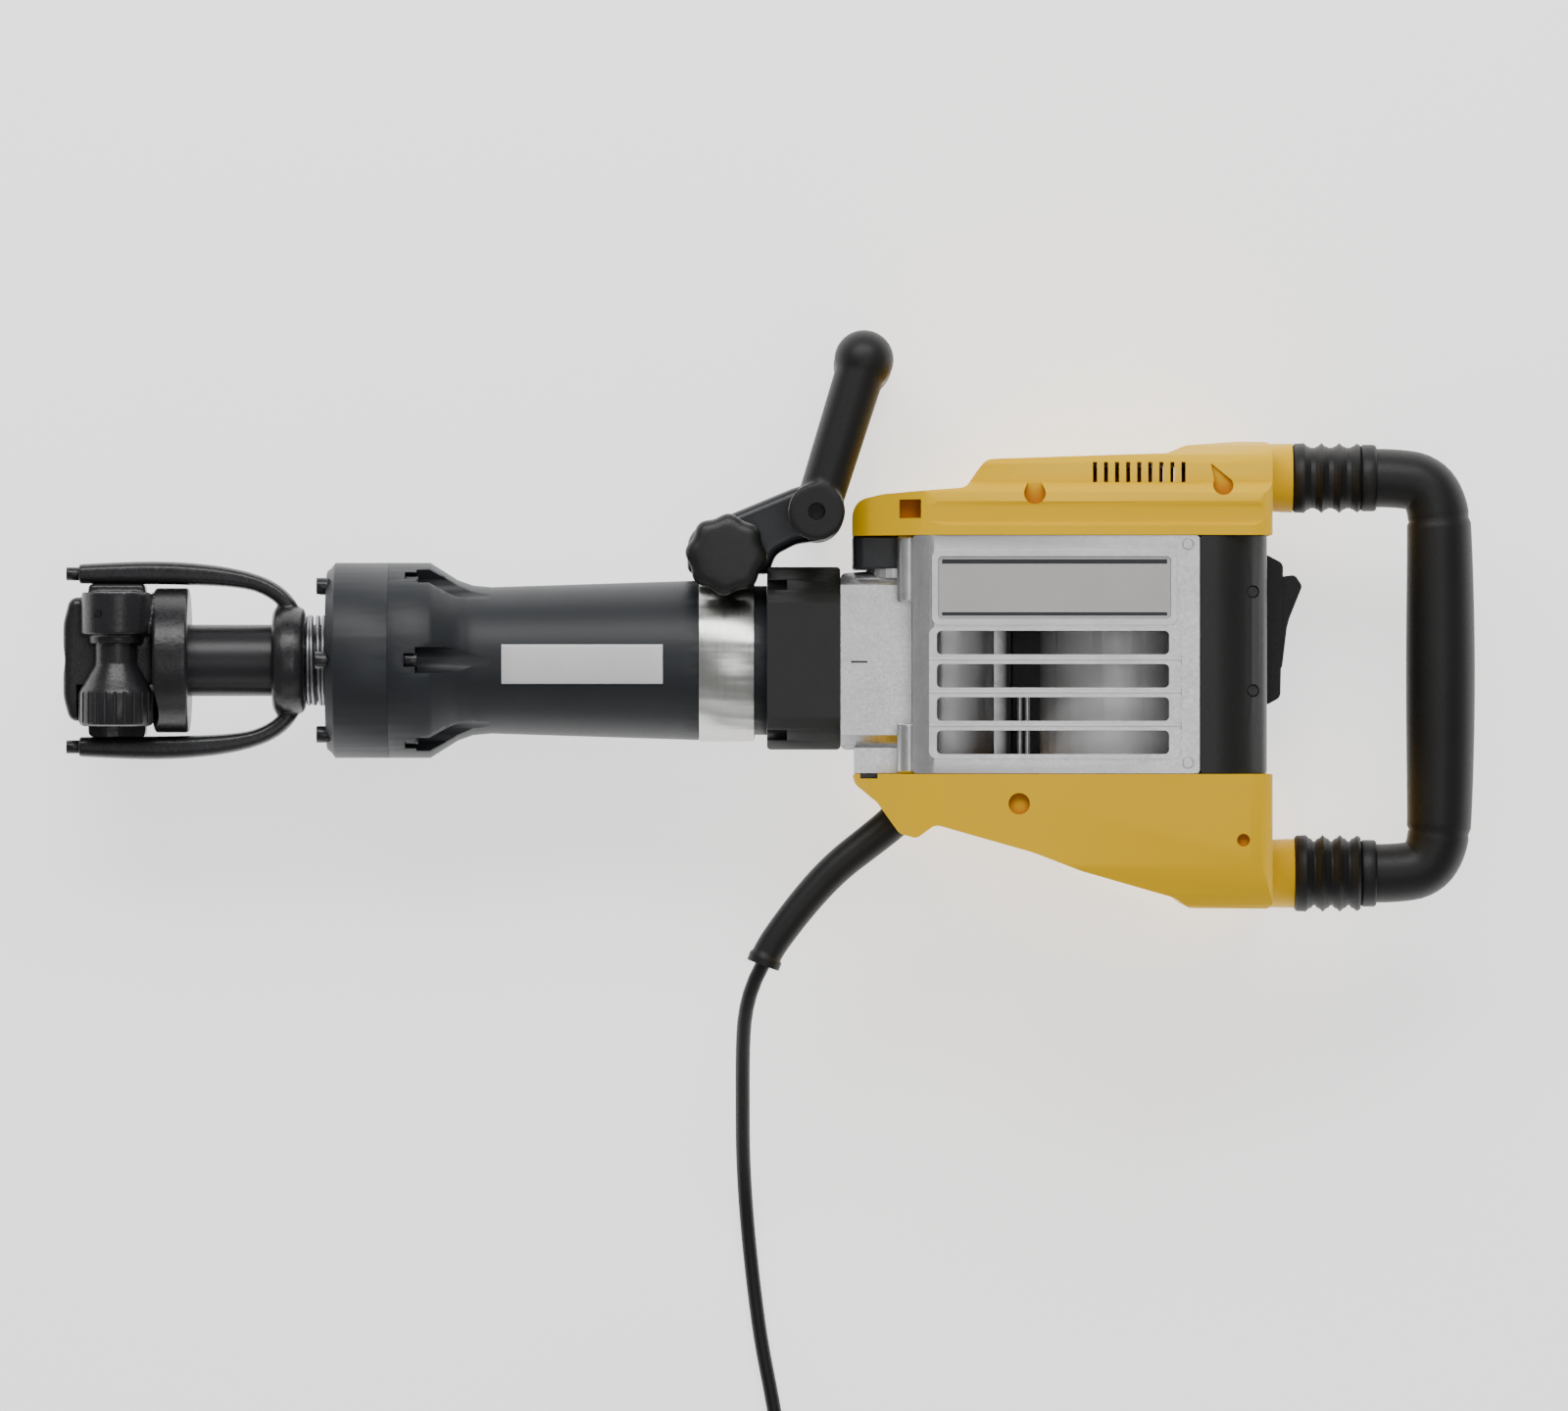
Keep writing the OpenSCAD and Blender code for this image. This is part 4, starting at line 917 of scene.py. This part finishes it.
def add_retainer_yoke():
    """The forged bows that pull on the sprung head, and the barrel-shaped ring they run into."""
    def bow(bm, s):
        line = evenly(smooth_line([
            (-372, 46.6, 0), (-355, 46.9, 0), (-332, 47.2, 0), (-312, 46.6, 0), (-292, 45, 0),
            (-276, 41.8, 0), (-265, 36.0, 0), (-259, 29.5, 0), (-257, 24.5, 0)], 2), 2)
        line = [Vector((p.x, s * p.y, 0)) for p in line]

        def section(t):
            return 5.3 + 1.3 * math.sin(math.pi * min(1, 1.3 * t)) - 0.9 * t, 9.4

        sweep(bm, line, section, 28, 3.2)

    def build(bm):
        bow(bm, 1)
        bow(bm, -1)
        lathe(bm, [(-268, 19.6), (-268, 25.6), (-266.4, 28.4), (-262, 29.7), (-256, 29.6),
                   (-251.4, 28), (-250.2, 26), (-250.2, 19.6)])

    bm = carved(build, [lambda bm: rod(bm, "x", -275, -240, 19.5)], 0.9, 4)
    finish_piece("retainer_bows", bm, "nose", "forged_steel", 0, 2, 60, ["retainer_yoke"])


def add_tool_head():
    """The forged head: a thick body, the lock pin's boss, side lugs and a round flange behind."""
    outline = rounded([(-380, 20, 20), (-380, -20, 20), (-376.4, -32.7, 5), (-331, -32.7, 2),
                       (-331, 33.8, 2), (-376.4, 33.8, 5)])

    def build(bm):
        prism(bm, outline, -33, 19, 4, 4)
        lathe(bm, [(-331.6, 0), (-331.6, 37.6), (-330.4, 39), (-313.8, 39), (-312.6, 37.8),
                   (-312.6, 0)])
        prism(bm, rect(-367, -41.3, -336, 41.3, 3), -12, 10, 2, 2)
        rod(bm, "y", 13.6, 36.4, 18.5, LOCK_X, 0, LOCK_Z)
        box(bm, (LOCK_X - 18.4, 14, 0), (LOCK_X + 18.4, 35.9, LOCK_Z))
        rod(bm, "y", 9, 14, 14.4, LOCK_X, 0, LOCK_Z)

    cuts = [lambda bm: rod(bm, "x", -385, -300, 17.5),
            lambda bm: rod(bm, "x", -331.2, -300, 19.4),
            lambda bm: rod(bm, "y", -45, 13.8, 11.8, LOCK_X, 0, LOCK_Z),
            lambda bm: rod(bm, "y", -15.1, -1.8, 20.2, LOCK_X, 0, LOCK_Z, r1=11.8),
            lambda bm: rod(bm, "y", 12, 45, 10.1, LOCK_X, 0, LOCK_Z),
            lambda bm: rod(bm, "y", -45, -13, 22.9, LOCK_X, 0, LOCK_Z),
            lambda bm: rod(bm, "z", LOCK_Z + 10, LOCK_Z + 30, 2.4, LOCK_X - 9, 25)]
    finish_piece("forged_head", carved(build, cuts, 0.9, 3), "nose", "forged_steel", 0, 2, 40,
                 ["tool_head"])


def add_lock_pin():
    """The turned lock pin: a knob with a knurled rim, a cone, and a notch that frees the tool."""
    profile = [(-35.4, 0), (-35.4, 17.6), (-34.6, 19.2), (-33, 20), (-18, 20), (-16.4, 19.4),
               (-15, 18.6), (-2.4, 11.6), (-1, 11.4), (13.4, 11.4), (13.4, 9.9), (36.2, 9.9),
               (36.9, 9.2), (36.9, 0)]

    def flutes(bm):
        for i in range(24):
            a = math.radians(15 * i + 1)
            rod(bm, "y", -40, -16.8, 1.3, LOCK_X + 20.6 * math.sin(a), 0,
                LOCK_Z + 20.6 * math.cos(a), 12)

    cuts = [flutes, lambda bm: rod(bm, "x", LOCK_X - 40, LOCK_X + 40, 18.1, sides=96),
            lambda bm: rod(bm, "y", 33, 40, 4, LOCK_X, 0, LOCK_Z)]
    bm = carved(lambda bm: lathe_y(bm, profile, LOCK_X, LOCK_Z, 96), cuts)
    finish_piece("lock_pin_turned", bm, "latch", "forged_steel", 0.3, 2, 35, ["lock_pin"])


def add_sleeve_skin():
    """A smooth dark skin over the tool sleeve."""
    bm = bmesh.new()
    lathe(bm, [(-324.8, 18.7), (-324.8, 19.28), (-234.6, 19.28), (-234.6, 18.7)])
    finish_piece("sleeve_skin", bm, "tool", "sleeve_steel", 0, 2, 40)


def add_stirrup():
    """The moulded stirrup: two round arms that swell into the corners of the grip."""
    low, high = (PIVOT_X, PIVOT_Y), (50.1, 160.3)

    def build(bm):
        for s in (1, -1):
            bar(bm, (*low, s * 64.5), (*high, s * 63.5), 12.2, 13.4)
            ball(bm, (*high, s * 62), 16, 0.98)
            rod(bm, "z", *mirrored(s, 53, 77.6), 15.2, *low)
            rod(bm, "z", *mirrored(s, 24.4, 60), 12, *low)
        for a, b, r0, r1 in ((-62, -30, 14.6, 15.6), (-30, 30, 15.6, 15.6), (30, 62, 15.6, 14.6)):
            rod(bm, "z", a, b, r0, *high, r1=r1)

    holes = [lambda bm: rod(bm, "z", 70, 90, 4.7, *low),
             lambda bm: rod(bm, "z", -90, -70, 4.7, *low)]
    finish_piece("stirrup_moulding", carved(build, holes, 1.2, 6), "stirrup", "soft_rubber",
                 0, 2, 60, ["stirrup_frame", "stirrup_grip", "stirrup_bolts"])
    bm = bmesh.new()
    rod(bm, "z", -30, 30, 7, *low)
    finish_piece("stirrup_spindle", bm, "stirrup", "black_metal", 0.4, 2)


def add_clamp_arm():
    """The cast arm from the clamp to the stirrup: a broad collar behind the knob and two eyes."""
    outline = rounded([(-44.6, 46.5, 4), (-1, 46.5, 3), (3, 57, 8), (14, 62.6, 10),
                       (35, 65.5, 10), (38.6, 84, 12), (24, 96, 10), (12, 92.4, 8),
                       (-24, 77.5, 14), (-44.6, 70, 14)])

    def build(bm):
        prism(bm, outline, 9, 24.2, 3.5, 5)
        prism(bm, outline, -24.2, -9, 5, 3.5)
        rod(bm, "z", -24, 24, 12.4, PIVOT_X, PIVOT_Y)

    holes = [lambda bm: rod(bm, "z", -40, 40, 7.1, PIVOT_X, PIVOT_Y),
             lambda bm: rod(bm, "x", -60, 20, 44.6)]
    finish_piece("clamp_arm", carved(build, holes, 1.0, 4), "clamp", "black_metal", 0, 2, 60,
                 ["stirrup_yoke"])


def add_knob():
    """The clamp's knob: a low dome with eight shallow lobes on a round neck."""
    rings = []
    for z, r, lobe in ((15.4, 9.9, 0), (28.3, 9.9, 0), (28.6, 18.6, 0.5), (30.4, 20.9, 1),
                       (44, 21.1, 1), (47.4, 20.2, 1), (49.2, 18, 0.7), (49.9, 14.5, 0.3),
                       (50, 9, 0)):
        ring = []
        for k in range(96):
            a = 2 * math.pi * k / 96
            out = r + 0.95 * lobe * math.cos(8 * a + 0.6)
            ring.append((KNOB_X + out * math.cos(a), KNOB_Y + out * math.sin(a), z))
        rings.append(ring)
    bm = bmesh.new()
    loft(bm, rings)
    finish_piece("knob_moulding", bm, "knob", "black_plastic", 0, 2, 50, ["clamp_knob"])


def add_bellows():
    """The two bellows, one round each leg of the grip."""
    bm = bmesh.new()
    for x0, y, r in ((BELLOWS_X, GRIP_TOP_Y, 19.0), (BELLOWS_X + 1, GRIP_LOW_Y, 20.8)):
        profile = [(x0, 16.4), (x0, r - 1.6), (x0 + 1, r - 0.4), (x0 + 5, r - 0.2)]
        width = (316 - x0 - 6) / 3
        for k in range(3):
            base = x0 + 6 + k * width
            for t in range(9):
                a = 2 * math.pi * t / 9
                profile.append((base + width * t / 9, r - 1.9 + 1.9 * math.cos(a) ** 3))
        profile += [(316, r - 0.4), (317.7, r - 1.4), (317.7, 16.4)]
        lathe(bm, profile, y, 72)
    obj = finish_piece("bellows_folds", bm, "tool", "soft_rubber", 0, 2, 60, ["bellows"])
    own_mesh(obj)


def coil(bm, x0, x1, r, wire, turns, y=0.0, sides=10):
    """A wound wire spring along X, with its end turns laid flat."""
    steps = int(turns * 28)
    rings = []
    for i in range(steps + 1):
        t = i / steps
        flat = min(1, max(0, (t * turns - 0.7) / (turns - 1.4)))
        x = x0 + wire + (x1 - x0 - 2 * wire) * flat
        a = 2 * math.pi * turns * t
        out = Vector((0, math.cos(a), math.sin(a)))
        centre = Vector((x, y, 0)) + out * r
        rings.append([centre + out * wire * math.cos(2 * math.pi * k / sides)
                      + Vector((1, 0, 0)) * wire * math.sin(2 * math.pi * k / sides)
                      for k in range(sides)])
    loft(bm, rings)


def add_springs():
    """The grip's two springs and the tool head's spring."""
    bm = bmesh.new()
    for y in (GRIP_TOP_Y, GRIP_LOW_Y):
        coil(bm, DAMPER_X, 283.6, 8.1, 1.2, 7, y)
    obj = finish_piece("handle_spring_wire", bm, "tool", "zinc_steel", 0, 2, 60,
                       ["handle_springs"])
    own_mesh(obj)
    bm = bmesh.new()
    coil(bm, -249.7, HEAD_SPRING_X, 23.2, 1.35, 3.6)
    obj = finish_piece("retainer_spring_wire", bm, "tool", "worked_steel", 0, 2, 60,
                       ["retainer_spring"])
    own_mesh(obj)


# ---- The CAD nodes that stay, with softened edges

SOFT_EDGE = {"nose_cover": 0.8, "barrel": 0.8, "crankcase": 1.2, "rear_collar": 1.0}


GAP_SHADE_FROM_X, GAP_SHADE_AT_X = 0.119, 0.127      # where the painted shade on the crankcase begins, in metres


def paint_gap_shade(material):
    """Painted shade on the crankcase behind the crank chamber: its colour goes dark along X, for
    the shaded gap before the motor.
    """
    tree = material.node_tree
    coords = tree.nodes.new("ShaderNodeTexCoord")
    split = tree.nodes.new("ShaderNodeSeparateXYZ")
    place = tree.nodes.new("ShaderNodeMapRange")
    place.inputs["From Min"].default_value = GAP_SHADE_FROM_X
    place.inputs["From Max"].default_value = GAP_SHADE_AT_X
    tree.links.new(coords.outputs["Object"], split.inputs["Vector"])
    tree.links.new(split.outputs["X"], place.inputs["Value"])
    mix_in(tree, grey(0.02), place.outputs["Result"], "A", "B")
    return material


def dress_nodes():
    """Gives each CAD node its slot's finish, and softens the edges of those that show."""
    # the crankcase gets its own copy of the aluminium, with painted shade in the gap
    own = {"crankcase": paint_gap_shade(MATERIALS["cast_aluminium"].copy())}
    for name, node in frame["nodes"].items():
        node.data.materials.clear()
        node.data.materials.append(own.get(name, MATERIALS[NODE_SLOT[name]]))
        if node.hide_render:
            continue
        weld = node.modifiers.new("weld", "WELD")
        weld.merge_threshold = 1e-6
        add_bevel(node, SOFT_EDGE.get(name, 0.3), 2)


def add_floor():
    """The pale floor, a hair below the hammer."""
    mesh = bpy.data.meshes.new("floor")
    bm = bmesh.new()
    bmesh.ops.create_grid(bm, x_segments=1, y_segments=1, size=6)
    bm.to_mesh(mesh)
    bm.free()
    floor = bpy.data.objects.new("floor", mesh)
    floor.location.z = -0.0005
    mesh.materials.append(floor_material())
    bpy.context.scene.collection.objects.link(floor)


add_camera()
add_cord()
add_top_cover()
add_bottom_cover()
add_side_shell("side_near", 1)
add_side_shell("side_far", -1)
add_gap_bars()
add_plates()
add_rear_cover()
add_front_details()
add_rear_handle()
add_bellows()
add_retainer_yoke()
add_tool_head()
add_lock_pin()
add_sleeve_skin()
add_stirrup()
add_clamp_arm()
add_knob()
add_springs()
add_studio()
add_floor()
dress_nodes()
